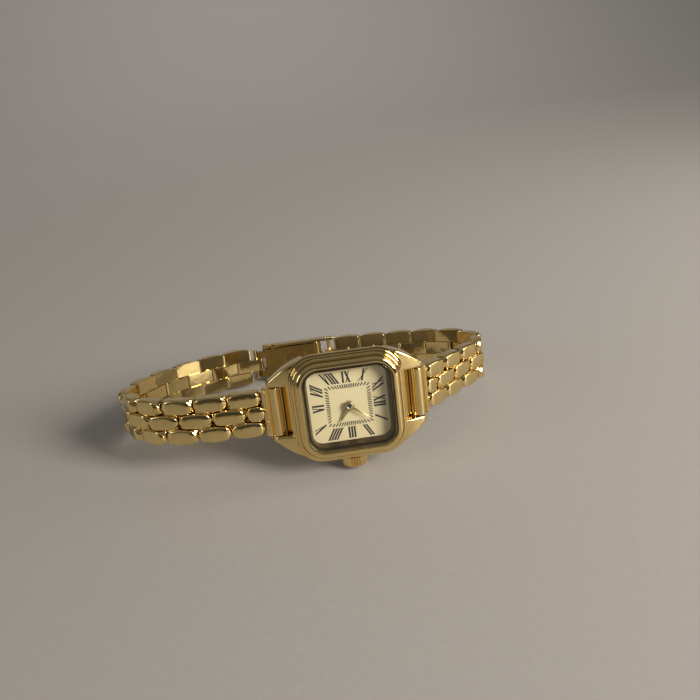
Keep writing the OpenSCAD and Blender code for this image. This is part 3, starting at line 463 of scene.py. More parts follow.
def place(o, matrix, body, material, replaces=(), sharp=35):
    """Puts a piece made in mm into the row frame, clears its slivers and gives it its body and look."""
    o.data.transform(Matrix.Scale(MM, 4) @ matrix)
    if matrix.determinant() < 0:
        o.data.flip_normals()
    bm = bmesh.new()
    bm.from_mesh(o.data)
    bmesh.ops.remove_doubles(bm, verts=bm.verts, dist=SAME_POINT)
    bmesh.ops.dissolve_verts(bm, verts=[v for v in bm.verts if len(v.link_edges) == 2])
    bmesh.ops.dissolve_degenerate(bm, edges=bm.edges, dist=SAME_POINT)
    bmesh.ops.recalc_face_normals(bm, faces=bm.faces)
    bm.to_mesh(o.data)
    bm.free()
    o.data.shade_smooth()
    o.data.set_sharp_from_angle(angle=math.radians(sharp))
    w = o.modifiers.new("weighted", "WEIGHTED_NORMAL")
    w.keep_sharp = True
    w.weight = 60
    o.data.materials.clear()
    o.data.materials.append(material)
    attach(o, body)
    if replaces:
        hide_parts(*replaces)
    return o


# ------------------------------------------------------------------------ case
LOW_IN, MID_IN = 2 * CASE_STEP, CASE_STEP
BACK_SEAT_W, BACK_SEAT_Z = 0.7, 0.3


def case_rings():
    """Up the case's outside in two steps, in over its top, and down the hole for the movement."""
    outside = [(LOW_IN + 0.25, 0.0), (LOW_IN + 0.07, 0.05), (LOW_IN, 0.2), (LOW_IN, LOW_Z - 0.15),
               (LOW_IN - 0.05, LOW_Z - 0.03), (LOW_IN - 0.25, LOW_Z + 0.04), (MID_IN + 0.07, LOW_Z + 0.12),
               (MID_IN, LOW_Z + 0.28), (MID_IN, FLANGE_Z - 0.12), (MID_IN - 0.04, FLANGE_Z - 0.02),
               (MID_IN - 0.15, FLANGE_Z), (0.18, FLANGE_Z), (0.06, FLANGE_Z + 0.05), (0.0, FLANGE_Z + 0.18),
               (0.0, CASE_H - 0.2), (0.06, CASE_H - 0.06), (0.2, CASE_H)]
    inside = [ring(LEDGE, 0, CASE_H), ring(LEDGE, 0, TOP_Z),
              ring(CAVITY, 0, TOP_Z), ring(CAVITY, 0, BACK_SEAT_Z),
              ring(CAVITY, BACK_SEAT_W, BACK_SEAT_Z), ring(CAVITY, BACK_SEAT_W, 0.0)]
    return [ring(CASE, -d, z) for d, z in outside] + inside


def touch(centre, r, p):
    """Where a line from a point touches a circle."""
    d = p - centre
    a = math.atan2(d.y, d.x) - math.acos(r / d.length)
    return centre + r * Vector((math.cos(a), math.sin(a)))


LUG_IN, LUG_BULGE = 0.15, 0.42
CORNER_AT = Vector((CASE_WID / 2 - CASE_R, CASE_LEN / 2 - CASE_R))
LUG_SIDE = Vector((LUG_GAP / 2 + LUG_W, LUG_TIP - LUG_W / 2))
LUG_ROOT = touch(CORNER_AT, CASE_R - LUG_IN, LUG_SIDE)
LUG_START, LUG_FALL = 7.2, LUG_TIP - 1.2
LUG_HIGH, LUG_OVER_BAR, LUG_FOOT = FLANGE_Z + 0.1, 1.2, 0.25
LUG_CUTS = [LUG_START, 7.7, 8.3, 9.0, 9.8, 10.6, 11.4, 12.2, 12.9]
LUG_CUTS += [13.3, 13.5, 13.7, 13.87, 14.0, 14.09, 14.135]
LUG_EDGE, EDGE_STEPS = 0.38, 4


def lug_outer(y):
    """The plan of a lug's outer side, which runs on from the case's round corner."""
    if y < LUG_ROOT.y:
        return LUG_ROOT.x - 0.25 * (LUG_ROOT.y - y)
    t = min(1, (y - LUG_ROOT.y) / (LUG_SIDE.y - LUG_ROOT.y))
    return LUG_ROOT.x + (LUG_SIDE.x - LUG_ROOT.x) * t + LUG_BULGE * math.sin(math.pi * t)


def lug_top(y):
    """Level beside the bezel, then falling to the bar, then round at the tip."""
    shoulder = CASE_LEN / 2 - 0.4
    if y < shoulder:
        return LUG_HIGH
    if y < LUG_FALL:
        t = (y - shoulder) / (LUG_FALL - shoulder)
        return LUG_HIGH - (LUG_HIGH - BAR_Z - LUG_OVER_BAR) * t * (0.7 + 0.3 * t)
    t = (y - LUG_FALL) / (LUG_TIP - LUG_FALL)
    return BAR_Z + LUG_OVER_BAR - 0.75 * t * t


def lug_bottom(y):
    if y < LUG_FALL:
        return LUG_FOOT - 0.1 * max(0, y - LUG_START) / (LUG_FALL - LUG_START)
    return 0.15 + 0.5 * ((y - LUG_FALL) / (LUG_TIP - LUG_FALL)) ** 2


def lug_section(y):
    """A cut across a lug, a rectangle with round edges; its tip is round in plan."""
    tip, r = LUG_TIP - LUG_W / 2, LUG_W / 2
    x0, x1 = LUG_GAP / 2, lug_outer(min(y, tip))
    if y > tip:
        reach = math.sqrt(max(0.0, r * r - (y - tip) ** 2))
        x0, x1 = LUG_GAP / 2 + r - reach, LUG_GAP / 2 + r + reach
    z0, z1 = lug_bottom(y), lug_top(y)
    c = min(LUG_EDGE, 0.45 * (x1 - x0))
    pts = []
    for k, (cx, cz) in enumerate([(x1 - c, z1 - c), (x0 + c, z1 - c), (x0 + c, z0 + c), (x1 - c, z0 + c)]):
        for j in range(EDGE_STEPS + 1):
            a = math.radians(90 * k + 90 * j / EDGE_STEPS)
            pts.append((cx + c * math.cos(a), y, cz + c * math.sin(a)))
    return pts


SHOULDER_START, SHOULDER_FOOT, SHOULDER_OVERLAP = 8.6, 0.12, 0.3
BAR_HOLE_R, BAR_HOLE_HALF = 0.40, 5.65


def shoulder_outline():
    """Along y and z: from the case's foot out under the spring bar, round it in a lip, and back on top."""
    side = [(SHOULDER_START, SHOULDER_FOOT), (LUG_REACH - 0.75, SHOULDER_FOOT)]
    for deg in range(232, 183, -8):
        a = math.radians(deg)
        side.append((LUG_REACH + LIP_R * math.cos(a), BAR_Z + LIP_R * math.sin(a)))
    top = FLANGE_Z - 0.1
    return side + [(SHOULDER + 0.1, BAR_Z + 0.1), (SHOULDER_TOP, top), (SHOULDER_START, top)]


def make_case():
    case = sweep("case", case_rings())
    parts = []
    for sx in (1, -1):
        for sy in (1, -1):
            rings = [[(sx * x, sy * y, z) for x, y, z in lug_section(t)] for t in LUG_CUTS]
            parts.append(new_object("lug", *loft(rings)))
    half = LUG_GAP / 2 + SHOULDER_OVERLAP
    for sy in (1, -1):
        rings = [[(x, sy * y, z) for y, z in shoulder_outline()] for x in (-half, half)]
        parts.append(new_object("shoulder", *loft(rings)))
    combine(case, parts)
    cuts = [rod("bore", TUBE_R + PRESS, (5, 0, STEM_Z), (12, 0, STEM_Z))]
    for sy in (1, -1):
        y = sy * LUG_REACH
        cuts.append(rod("bore", BAR_HOLE_R, (-BAR_HOLE_HALF, y, BAR_Z), (BAR_HOLE_HALF, y, BAR_Z), 24))
    cut(case, cuts)
    place(case, HEAD, "head", GOLD, ["case_body"])


def make_bezel():
    """From inside out: seat of the crystal, round rim, groove, upper ring, step, groove and lower ring."""
    rim = [(0, CRYSTAL_Z), (0, BEZEL_TOP - 0.10), (0.03, BEZEL_TOP - 0.03), (0.10, BEZEL_TOP),
           (0.30, BEZEL_TOP - 0.01), (0.52, BEZEL_TOP - 0.06), (0.72, BEZEL_TOP - 0.15),
           (0.88, BEZEL_TOP - 0.29), (0.99, BEZEL_TOP - 0.47), (RING_W, BEZEL_TOP - 0.68)]
    upper = [(0.0, -0.26), (0.11, -0.26), (0.15, -0.06), (0.20, -0.01), (0.32, 0.0),
             (0.43, -0.06), (0.52, -0.16), (0.58, -0.30), (RING2_W, -0.46)]
    lower = [(0.02, -0.2), (0.18, -0.2), (0.22, -0.04), (0.34, 0.0),
             (0.6, -0.02), (0.85, -0.10), (1.0, -0.22)]
    rings = [ring(LEDGE, 0, CASE_H), ring(LEDGE, 0, CRYSTAL_Z)] + [ring(POCKET, d, z) for d, z in rim]
    rings += [ring(POCKET, RING_W + d, RING_Z + z) for d, z in upper]
    a, b = ring(POCKET, RING_W + RING2_W, RING2_Z + 0.05), ring(CASE, -0.3, CASE_H)
    rings.append(a)
    for t, z in lower:
        rings.append(tuple(a[i] + (b[i] - a[i]) * t for i in range(3)) + (RING2_Z + z,))
    place(sweep("bezel_ring", rings + [b], arc=16), HEAD, "head", GOLD, ["bezel"])


def make_crystal():
    z0, z1 = CRYSTAL_Z, CRYSTAL_Z + CRYSTAL_T
    rings = [ring(CRYSTAL, 0, z0), ring(CRYSTAL, 0, z1 - 0.16), ring(CRYSTAL, -0.05, z1 - 0.08),
             ring(CRYSTAL, -0.2, z1)]
    place(sweep("flat_crystal", rings, closed=False, arc=16), HEAD, "head", GLASS, ["crystal"])


def make_shade_border():
    """A dark band of painted shade on the underside of the crystal, over the seat that it rests on."""
    z0, z1 = CRYSTAL_Z + 0.01, CRYSTAL_Z + 0.04
    rings = [ring(CRYSTAL, -0.04, z0), ring(CRYSTAL, -0.04, z1),
             ring(LEDGE, -0.12, z1), ring(LEDGE, -0.12, z0)]
    place(sweep("crystal_shade_border", rings, arc=16), HEAD, "head", RING_SHADE)


# the inner ring round the dial takes the dark gold of painted shade
def make_rehaut():
    outer = ring(LEDGE, -SEAT, 0)
    rings = [ring(outer, 0, DIAL_Z), ring(outer, 0, CRYSTAL_Z), ring(outer, -0.06, CRYSTAL_Z),
             ring(SHOW, 0.06, DIAL_Z + 0.22), ring(SHOW, 0, DIAL_Z + 0.16), ring(SHOW, 0, DIAL_Z)]
    place(sweep("inner_ring", rings), HEAD, "head", RING_SHADE, ["rehaut"])


PLUG_T, PLUG_TOP = 0.5, 0.9
BACK_IN = 2.5 * CASE_STEP


def make_back():
    """The case back: a ring pressed into the case, a plate under it, and a notch to lift it by."""
    outside = [(LOW_IN, 0.0), (LOW_IN, -BACK_T / 2 + 0.1), (LOW_IN + 0.08, -BACK_T / 2),
               (2.4 * CASE_STEP, -BACK_T / 2 - 0.02), (BACK_IN + 0.02, -BACK_T / 2 - 0.1),
               (BACK_IN + 0.05, -BACK_T + 0.1), (BACK_IN + 0.15, -BACK_T), (BACK_IN + 1.2, -BACK_T),
               (BACK_IN + 1.25, -BACK_T + 0.05), (BACK_IN + 1.4, -BACK_T + 0.05), (BACK_IN + 1.45, -BACK_T),
               (BACK_IN + 2.5, -BACK_T), (BACK_IN + 2.5, -0.02)]
    rings = [ring(CAVITY, -PLUG_T, PLUG_TOP), ring(CAVITY, -SEAT, PLUG_TOP), ring(CAVITY, -SEAT, 0.0)]
    rings += [ring(CASE, -d, z) for d, z in outside]
    back = sweep("back_cover", rings + [ring(CAVITY, -PLUG_T, -0.02)])
    floor_ring = [ring(CASE, -BACK_IN - 2.4, -BACK_T), ring(CASE, -BACK_IN - 2.4, -0.05)]
    combine(back, [sweep("floor_plate", floor_ring, closed=False)])
    cut(back, [block("notch", (-1.5, -CASE_LEN / 2 + 0.4, -BACK_T / 2 - 0.15),
                     (1.5, -CASE_LEN / 2 + 1.25, -BACK_T / 2 + 0.15))])
    place(back, HEAD, "head", BACK_STEEL, ["case_back"])


# ----------------------------------------------------------------- dial, hands
FOOT_R, FOOT_AT, FOOT_Z = 0.3, (4.2, 5.4), 2.4


def make_dial():
    z0, z1 = DIAL_Z - DIAL_T, DIAL_Z
    edge = ring(CAVITY, -2 * SEAT, z0)
    plate = sweep("dial_plate", [edge, ring(edge, 0, z1 - 0.05), ring(edge, -0.05, z1)], closed=False)
    cut(plate, [rod("bore", PIPE_R + 0.15, (0, 0, z0 - 1), (0, 0, z1 + 1))])
    feet = []
    for s in (1, -1):
        x, y = s * FOOT_AT[0], -s * FOOT_AT[1]
        feet.append(rod("foot", FOOT_R, (x, y, FOOT_Z), (x, y, z0 + 0.02), 20))
    combine(plate, feet)
    place(plate, HEAD, "head", DIAL, ["dial"])


NUMERALS = ["XII", "I", "II", "III", "IIII", "V", "VI", "VII", "VIII", "IX", "X", "XI"]
ADVANCE = {"I": 0.49, "V": 0.95, "X": 1.15}
THICK, THIN, SERIF = 0.34, 0.16, 0.1
TRACK_WID, TRACK_LEN, MARK_W, MARK_LEN = 7.75, 8.2, 0.2, 0.72
FIVE_SHIFT = 0.65
# how far the numerals' middles are from the centre, above and below, and at the sides
NUMERAL_REACH = [SHOW_LEN / 2 - NUMERAL_H / 2 - 0.55, SHOW_WID / 2 - NUMERAL_H / 2 - 0.35]
# strokes that cross in a letter differ in height by this much
LAYER_T = 0.001


def stroke(x0, x1, w):
    """A stroke of a letter from foot to top."""
    t = NUMERAL_H / 2
    return [(x0 - w / 2, -t), (x0 + w / 2, -t), (x1 + w / 2, t), (x1 - w / 2, t)]


def foot(x, s, w):
    """A serif at the top (s = 1) or at the foot (s = -1) of a letter."""
    t = NUMERAL_H / 2
    inner, outer = s * (t - SERIF), s * t
    return [(x - w / 2, inner), (x + w / 2, inner), (x + w / 2, outer), (x - w / 2, outer)]


LETTERS = {
    "I": [stroke(0, 0, THICK), foot(0, 1, 0.44), foot(0, -1, 0.44)],
    "V": [stroke(0.03, -0.29, THICK), stroke(0.03, 0.33, THIN), foot(-0.3, 1, 0.46), foot(0.33, 1, 0.3)],
    "X": [stroke(0.33, -0.33, THICK), stroke(-0.33, 0.33, THIN), foot(-0.34, 1, 0.44), foot(0.34, 1, 0.3),
          foot(-0.34, -1, 0.3), foot(0.34, -1, 0.44)],
}


def make_print():
    """Numerals lean along their rays while their feet stay parallel to the side of the dial."""
    verts, faces = [], []

    def flat(outline, turn, layer):
        c, s = math.cos(turn), math.sin(turn)
        pts = [(x * c + y * s, -x * s + y * c) for x, y in outline]
        n, b, top = len(pts), len(verts), DIAL_Z + PRINT_T - LAYER_T * layer
        verts.extend([(x, y, DIAL_Z - 0.01) for x, y in pts] + [(x, y, top) for x, y in pts])
        faces.append(tuple(b + n + k for k in range(n)))
        faces.append(tuple(b + k for k in range(n))[::-1])
        faces.extend((b + k, b + (k + 1) % n, b + n + (k + 1) % n, b + n + k) for k in range(n))

    for i, word in enumerate(NUMERALS):
        side = (i + 1) // 3
        out, lean = NUMERAL_REACH[side % 2], math.tan(math.radians(30 * i - 90 * side))
        x = -sum(ADVANCE[c] for c in word) / 2 - (FIVE_SHIFT if word == "V" else 0)
        for c in word:
            x += ADVANCE[c] / 2
            for layer, quad in enumerate(LETTERS[c]):
                leaning = [(x + px + (out + py) * lean, out + py) for px, py in quad]
                flat(leaning, math.radians(90 * side), layer + 1)
            x += ADVANCE[c] / 2
    for i in range(60):
        a = math.radians(6 * i)
        s, c = max(abs(math.sin(a)), 1e-6), max(abs(math.cos(a)), 1e-6)
        mid = min((TRACK_WID - MARK_LEN) / 2 / s, (TRACK_LEN - MARK_LEN) / 2 / c)
        near, far, half = mid - MARK_LEN / 2, mid + MARK_LEN / 2, MARK_W / 2
        flat([(-half, near), (half, near), (half, far), (-half, far)], a, 1)
    place(new_object("dial_numerals", verts, faces), HEAD, "head", PRINT, ["dial_print"])


def make_hand(name, angle, length, boss, bore, wide, z, body):
    """A tapered hand with a low ridge along it and a round boss."""
    profile = [(bore, 0.0), (bore, HAND_T - 0.02), (bore + 0.04, HAND_T), (boss - 0.08, HAND_T),
               (boss - 0.02, HAND_T - 0.03), (boss, HAND_T - 0.08), (boss, 0.0)]
    hub = new_object(name, *turned(profile))
    ridge = HAND_T - 0.02
    side = ridge - 0.05
    taper = [(boss * 0.80, wide), (boss + 0.3, wide * 0.97), (length * 0.55, wide * 0.62),
             (length * 0.85, wide * 0.3), (length, 0.05)]
    rings = []
    for y, w in taper:
        rings.append([(-w / 2, y, 0), (w / 2, y, 0), (w / 2, y, side), (0.0, y, ridge), (-w / 2, y, side)])
    combine(hub, [new_object("blade", *loft(rings))])
    m = HEAD @ Matrix.Rotation(-math.radians(angle), 4, "Z") @ Matrix.Translation((0, 0, z))
    return place(hub, m, body, HAND_GOLD, sharp=28)


def make_hands():
    hour = make_hand("hand_hour", 120 + SHOWN_MINUTES / 2, HOUR_LEN, PIPE_R + 0.2, PIPE_R + PRESS,
                     HOUR_WIDE, HOUR_Z, "hour")
    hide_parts("hour_hand")
    minute = make_hand("hand_minute", 6 * SHOWN_MINUTES, MINUTE_LEN, MINUTE_BOSS, CANNON_R + PRESS,
                       MINUTE_WIDE, MINUTE_Z, "minute")
    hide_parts("minute_hand")


def make_hub():
    """The raised ring round the end of the arbor, on the minute hand, in a paler gold that is a painted
    highlight.
    """
    profile = [(0.37, -0.01), (0.37, 0.05), (0.42, 0.09), (0.52, 0.09), (0.60, 0.05), (0.63, -0.01)]
    place(new_object("hand_hub", *turned(profile, MINUTE_Z + HAND_T)), HEAD, "minute", HUB_HIGHLIGHT_GOLD)


# ----------------------------------------------------------------------- crown
def make_crown():
    n = CROWN_TEETH * 8
    r, x0, x1 = CROWN_D / 2, CROWN_X, CROWN_TOP

    def fluted(x, radius, groove):
        """A circle with flutes of a depth, whose ridges are flat on top."""
        pts = []
        for k in range(n):
            a = 2 * math.pi * k / n
            wave = 0.5 - 0.5 * math.cos(CROWN_TEETH * a)
            rr = radius - groove * (1 - min(1.0, 1.45 * wave))
            pts.append((x, rr * math.cos(a), STEM_Z + rr * math.sin(a)))
        return pts

    outside = [(x0 + 1.0, CROWN_BORE, 0), (x0, CROWN_BORE, 0), (x0, r - 0.35, 0),
               (x0 + 0.10, r - 0.12, 0.05), (x0 + 0.22, r, 0.24), (x1 - 0.50, r, 0.24),
               (x1 - 0.36, r - 0.08, 0.14), (x1 - 0.26, r - 0.22, 0), (x1 - 0.17, r - 0.36, 0),
               (x1 - 0.06, r - 0.62, 0), (x1 - 0.02, r - 1.1, 0), (x1, r - 1.7, 0)]
    crown = new_object("crown_cap", *loft([fluted(*p) for p in outside]))
    cut(crown, [rod("bore", STEM_D / 2 + PRESS, (x0, 0, STEM_Z), (x1 - 0.4, 0, STEM_Z), 24)])
    place(crown, HEAD, "crown", GOLD, ["crown"], sharp=30)


# -------------------------------------------------------------------- bracelet
# where a brick is cut for its loft: -1 and 1 are its ends
STATIONS = [-1, -0.992, -0.975, -0.95, -0.915, -0.87, -0.81, -0.73, -0.63, -0.50, -0.32, -0.15, 0.0]
STATIONS += [-u for u in STATIONS[-2::-1]]
BRICK_CORNER, TOP_CORNER, BRICK_BOW, EDGE = 0.5, 1.0, 0.3, 0.34
BASE_GAP, BASE_TOP = 0.06, 0.55
END_FALL, FALL_LEN, ROUND_LEN = 0.5, 1.25, 0.8


def corner_cut(radius, end):
    """How far a round corner draws the side in, at a distance from the brick's end."""
    return radius - math.sqrt(max(0.0, radius ** 2 - max(0.0, radius - end) ** 2))


def brick_section(x, x0, x1, w, free):
    """One cut through a brick; free is the side (1 or -1) without a neighbour, 0 for the middle row."""
    length = x1 - x0
    a = abs(2 * (x - x0) / length - 1)
    end = min(x - x0, x1 - x)
    half = w / 2 + ROW_GAP * 2 / 3 - BRICK_BOW * a * a
    low_w = half - corner_cut(BRICK_CORNER, end)
    top_w = min(low_w, half - corner_cut(TOP_CORNER, end)) - 0.02 - 0.14 * a * a
    t = -HALF_T + END_FALL * max(0.0, 1 - end / FALL_LEN) ** 2.2
    b = HALF_T - 0.08 * max(0.0, 1 - end / 0.2)
    side = t + EDGE
    base = w / 2 + (ROW_GAP - BASE_GAP) / 2 - 0.05 * max(0.0, 1 - end / 0.1)
    pts = [(base, b - 0.08), (base, BASE_TOP), (low_w, max(side + 0.25, -0.25)),
           (0.7 * low_w + 0.3 * top_w, side + 0.2)]
    for deg in (0, 20, 40, 60, 75, 90):
        c, s = math.cos(math.radians(deg)), math.sin(math.radians(deg))
        pts.append((top_w - EDGE * (1 - c), side - (EDGE - 0.05) * s))
    pts.append((0.45 * top_w, t + 0.015))
    pts.append((0.0, t))
    pts = [(base - 0.08, b)] + pts + [(-x, y) for x, y in pts[-2::-1]] + [(-base + 0.08, b)]
    return [(free * min(free * x, low_w), y) if free else (x, y) for x, y in pts]


def sagitta(r, y, away):
    """How far a circle about the pin falls back at a height, fading out with the distance from the end."""
    return (r - math.sqrt(r ** 2 - y ** 2)) * max(0.0, 1 - away / ROUND_LEN)


def brick(x0, x1, zc, w, pin_x, nests=True):
    """A brick; one end bulges round the pin, the other is hollow round the neighbour's bulge."""
    xm, half = (x0 + x1) / 2, (x1 - x0) / 2
    free = (zc > 0) - (zc < 0)
    rings = []
    for u in STATIONS:
        x = xm + u * half
        rings.append([(x, y, zc + z) for z, y in brick_section(x, x0, x1, w, free)])
    verts, faces = loft(rings, caps=False)
    n = len(rings[0])
    for first in (0, len(verts) - n):
        for k in range(n // 2):
            strip = (first + k, first + k + 1, first + n - 2 - k, first + n - 1 - k)
            faces.append(strip if k < n // 2 - 1 else (strip[0], strip[1], strip[3]))
    o = new_object("brick", verts, faces)
    side = -1 if pin_x < xm else 1
    near, far = (x0, x1) if side < 0 else (x1, x0)
    for v in o.data.vertices:
        x, y = v.co.x, v.co.y
        drawn_out = sagitta(NEST_R, y, abs(far - x)) if nests else 0.0
        v.co.x -= side * (sagitta(END_R, y, abs(near - x)) + drawn_out)
    return o


WEB_END, WEB_HALF_T, WEB_OVERLAP = 0.25, 0.55, 0.3
DIMPLE_R, DIMPLE_T = 0.30, 0.12
OPEN_PIN_HALF = 3.4


def make_link(name):
    """One link in its own frame, with its pin at the origin."""
    o = brick(-END_R, STOP_X, SIDE_Z, SIDE_W, 0)
    o.name = name
    web_half = MID_W / 2 + ROW_GAP + WEB_OVERLAP
    web = block("web", (NOSE_START + WEB_END, -WEB_HALF_T, -web_half),
                (STOP_X - WEB_END, WEB_HALF_T, web_half))
    side_brick = brick(-END_R, STOP_X, -SIDE_Z, SIDE_W, 0)
    combine(o, [side_brick, brick(NOSE_START, PITCH + END_R, 0, MID_W, PITCH), web])
    combine(o, [cross_rod("pin", PIN_R, (0, 0), PIN_HALF)])
    cut(o, [cross_rod("bore", PIN_R + FIT, (PITCH, 0), BAND_W)])
    dimples = []
    for s in (1, -1):
        z0, z1 = s * BAND_W / 2, s * (BAND_W / 2 - DIMPLE_T)
        dimples.append(rod("dimple", DIMPLE_R, (0, 0, z0), (0, 0, z1), 24))
    return cut(o, dimples)


def make_end_piece(name):
    """Barrel on the spring bar, a bright lip, a plate and the first middle brick."""
    plate_stop = END_LEN - PITCH / 4 - END_GAP / 2
    outline = []
    for deg in range(128, 321, 8):
        outline.append((HALF_T * math.cos(math.radians(deg)), HALF_T * math.sin(math.radians(deg))))
    outline += [(0.98, -0.62), (1.10, -0.62), (1.13, -0.90), (1.20, -1.02), (1.32, -1.08), (1.48, -1.08),
                (1.60, -1.0), (1.66, -0.88), (1.68, -0.60), (plate_stop - 0.1, -0.58), (plate_stop, -0.5),
                (plate_stop, 0.72), (plate_stop - 0.12, 0.85), (0.25, 0.88)]
    h, mid_x = END_W / 2, 0.5
    layers = [(0.90, -h), (0.97, -h + 0.04), (1, -h + 0.13), (1, h - 0.13), (0.97, h - 0.04), (0.90, h)]
    rings = [[(mid_x + (x - mid_x) * k, y * k, z) for x, y in outline] for k, z in layers]
    o = new_object(name, *loft(rings))
    combine(o, [brick(plate_stop - 0.3, END_LEN + END_R, 0, MID_W, END_LEN, nests=False)])
    return cut(o, [cross_rod("bore", BAR_R + FIT, (0, 0), h + 1),
                   cross_rod("bore", PIN_R + FIT, (END_LEN, 0), h)])


def make_bracelet():
    link = make_link("link_master")
    end = make_end_piece("end_master")

    def copy_of(master, name):
        o = bpy.data.objects.new(name, master.data.copy())
        bpy.context.scene.collection.objects.link(o)
        return o

    arms = ((PINS_12, HEAD_12, 1, "12", BAR_12), (PINS_6, HEAD_6, -1, "6", BAR_6))
    for pins, heads, side, arm_name, bar in arms:
        body = "end_link_" + arm_name
        place(copy_of(end, "end_piece_" + arm_name), link_frame(bar, heads[0], side), body, GOLD, [body])
        for i in range(1, len(heads)):
            body = f"link_{arm_name}_{i}"
            o = copy_of(link, f"bricks_{arm_name}_{i}")
            if body == "link_6_11":
                combine(o, [cross_rod("open", PIN_R - PRESS, (PITCH, 0), OPEN_PIN_HALF)])
            place(o, link_frame(pins[i - 1], heads[i], side), body, GOLD_LINK, [body])
    for o in (link, end):
        bpy.data.objects.remove(o)


GROOVE_Z, GROOVE_HALF = 1.41, 0.06


def make_cover():
    """The clasp's outer part: a plate with two side walls, slots for the studs, grooves and two pins."""
    walls = [(START_X, -HALF_T + 0.3), (START_X + 0.4, -HALF_T), (WALL_STOP, -HALF_T), (WALL_STOP, 0.2),
             (COVER_STOP, 0.4), (COVER_STOP, COVER_SKIN), (COVER_START, COVER_SKIN), (START_X, HALF_T - 0.4)]
    cover = block("cover", (COVER_START, COVER_SKIN - CLASP_T, -COVER_HALF),
                  (COVER_STOP, COVER_SKIN, COVER_HALF))
    combine(cover, [prism("side", walls, *one_side(s, COVER_HALF - CLASP_T, COVER_HALF)) for s in (1, -1)])
    slots, grooves = [], []
    slot_r = STUD_R + 0.1
    for s in (1, -1):
        z0, z1 = one_side(s, COVER_HALF - 1, COVER_HALF + 1)
        slots.append(block("slot", (STUD_X - slot_r, -HALF_T - 1, z0),
                           (STUD_X + slot_r, -BLADE_Y - CLASP_T / 2 + slot_r, z1)))
    cut(cover, slots)
    for s in (1, -1):
        z = s * GROOVE_Z
        grooves.append(block("groove", (COVER_START + 1.1, COVER_SKIN - 0.10, z - GROOVE_HALF),
                             (COVER_STOP - 0.9, COVER_SKIN + 0.2, z + GROOVE_HALF)))
    cut(cover, grooves)
    bevel(cover, 0.10, 50)
    combine(cover, [cross_rod("pin", PIN_R, at, COVER_HALF - 0.05) for at in ((0, 0), BLADE_PIN)])
    place(cover, CLASP, "clasp_cover", GOLD, ["clasp_cover"])


# on the blade, from its pin: where the window and the raised field in it start, stop, and their half width
WINDOW, RAISED = (2.2, 7.6, 1.9), (2.7, 7.1, 1.45)
EAR_W, STUD_OUT, BORE_HALF = 1.5, 0.5, 5


def make_blade():
    """The clasp's folding blade with its knuckle, window, two open ears and two studs."""
    top = -BLADE_Y
    bottom, pin_x = top - CLASP_T, BLADE_PIN[0]
    blade = block("blade_leaf", (pin_x, bottom, -BLADE_HALF), (EAR_STOP - 1.8, top, BLADE_HALF))
    bevel(blade, 0.12)
    start, stop, half = WINDOW
    window = block("window", (pin_x + start, bottom - 1, -half), (pin_x + stop, bottom + 0.22, half))
    cut(blade, [bevel(window, 0.2)])
    start, stop, half = RAISED
    raised = block("raised", (pin_x + start, bottom + 0.04, -half), (pin_x + stop, bottom + 0.3, half))
    parts = [bevel(raised, 0.08), cross_rod("knuckle", KNUCKLE_R + 0.25, BLADE_PIN, BLADE_HALF)]
    outline = [(EAR_STOP - 3.6, bottom), (EAR_STOP - 0.6, bottom), (EAR_STOP, -0.5), (EAR_STOP, 0.5),
               (EAR_STOP - 1.2, 0.5), (EAR_STOP - 3.6, top)]
    for s in (1, -1):
        ear = prism("ear", outline, *one_side(s, EAR_GAP, EAR_GAP + EAR_W))
        y = top - CLASP_T / 2
        parts.append(bevel(ear, 0.06))
        parts.append(rod("stud", STUD_R, (STUD_X, y, s * (BLADE_HALF - 0.1)),
                         (STUD_X, y, s * (BLADE_HALF + STUD_OUT)), 20))
    combine(blade, parts)
    cut(blade, [cross_rod("bore", PIN_R + FIT, BLADE_PIN, BORE_HALF),
                cross_rod("bore", PIN_R + 0.15, (CLASP_LEN, 0), BORE_HALF)])
    place(blade, CLASP, "clasp_blade", BLADE_SHADE_GOLD, ["clasp_blade"])


make_case()
make_bezel()
make_crystal()
make_shade_border()
make_rehaut()
make_back()
make_dial()
make_print()
make_hands()
make_hub()
make_crown()
make_bracelet()
make_cover()
make_blade()

# the nodes that stay as they are
LOOKS = {"crystal_gasket": GASKET_SHADE, "cannon_pinion": ARBOR_SHADE, "centre_wheel": ARBOR_SHADE,
         "hour_wheel": GEAR_BRASS, "minute_wheel": GEAR_BRASS, "third_wheel": GEAR_BRASS,
         "rotor": MAGNET, "stator": STEEL, "coil": COPPER, "circuit_board": BOARD,
         "main_plate": GEAR_BRASS, "train_bridge": GEAR_BRASS, "movement_screws": STEEL,
         "movement_holder": PLASTIC, "battery": STEEL, "battery_clamp": GEAR_BRASS,
         "stem": STEEL, "stem_yoke": STEEL, "crown_tube": GOLD_SATIN, "crown_gasket": RUBBER,
         "case_back_gasket": RUBBER, "spring_bars": STEEL}
for name, material in LOOKS.items():
    node = NODES[name]
    node.data.materials.clear()
    node.data.materials.append(material)

# ----------------------------------------------- floor, light, camera, in metres
FLOOR_HALF, FLAT_TO, CURVE_R, WALL_TOP = 3.0, 0.6, 0.8, 3.0
FLOOR_COLOUR, SPECK = (0.40, 0.37, 0.335), 0.02


def floor_material():
    n = Nodes("pale_floor")
    dark = rgb(*(c * (1 - SPECK) for c in FLOOR_COLOUR))
    light = rgb(*(c * (1 + SPECK) for c in FLOOR_COLOUR))
    n.link(n.ramp(n.noise(900.0), 0.3, dark, 0.7, light), n.bsdf.inputs["Base Color"])
    n.bsdf.inputs["Roughness"].default_value = 0.6
    n.bsdf.inputs["Specular IOR Level"].default_value = 0.2
    return n.mat


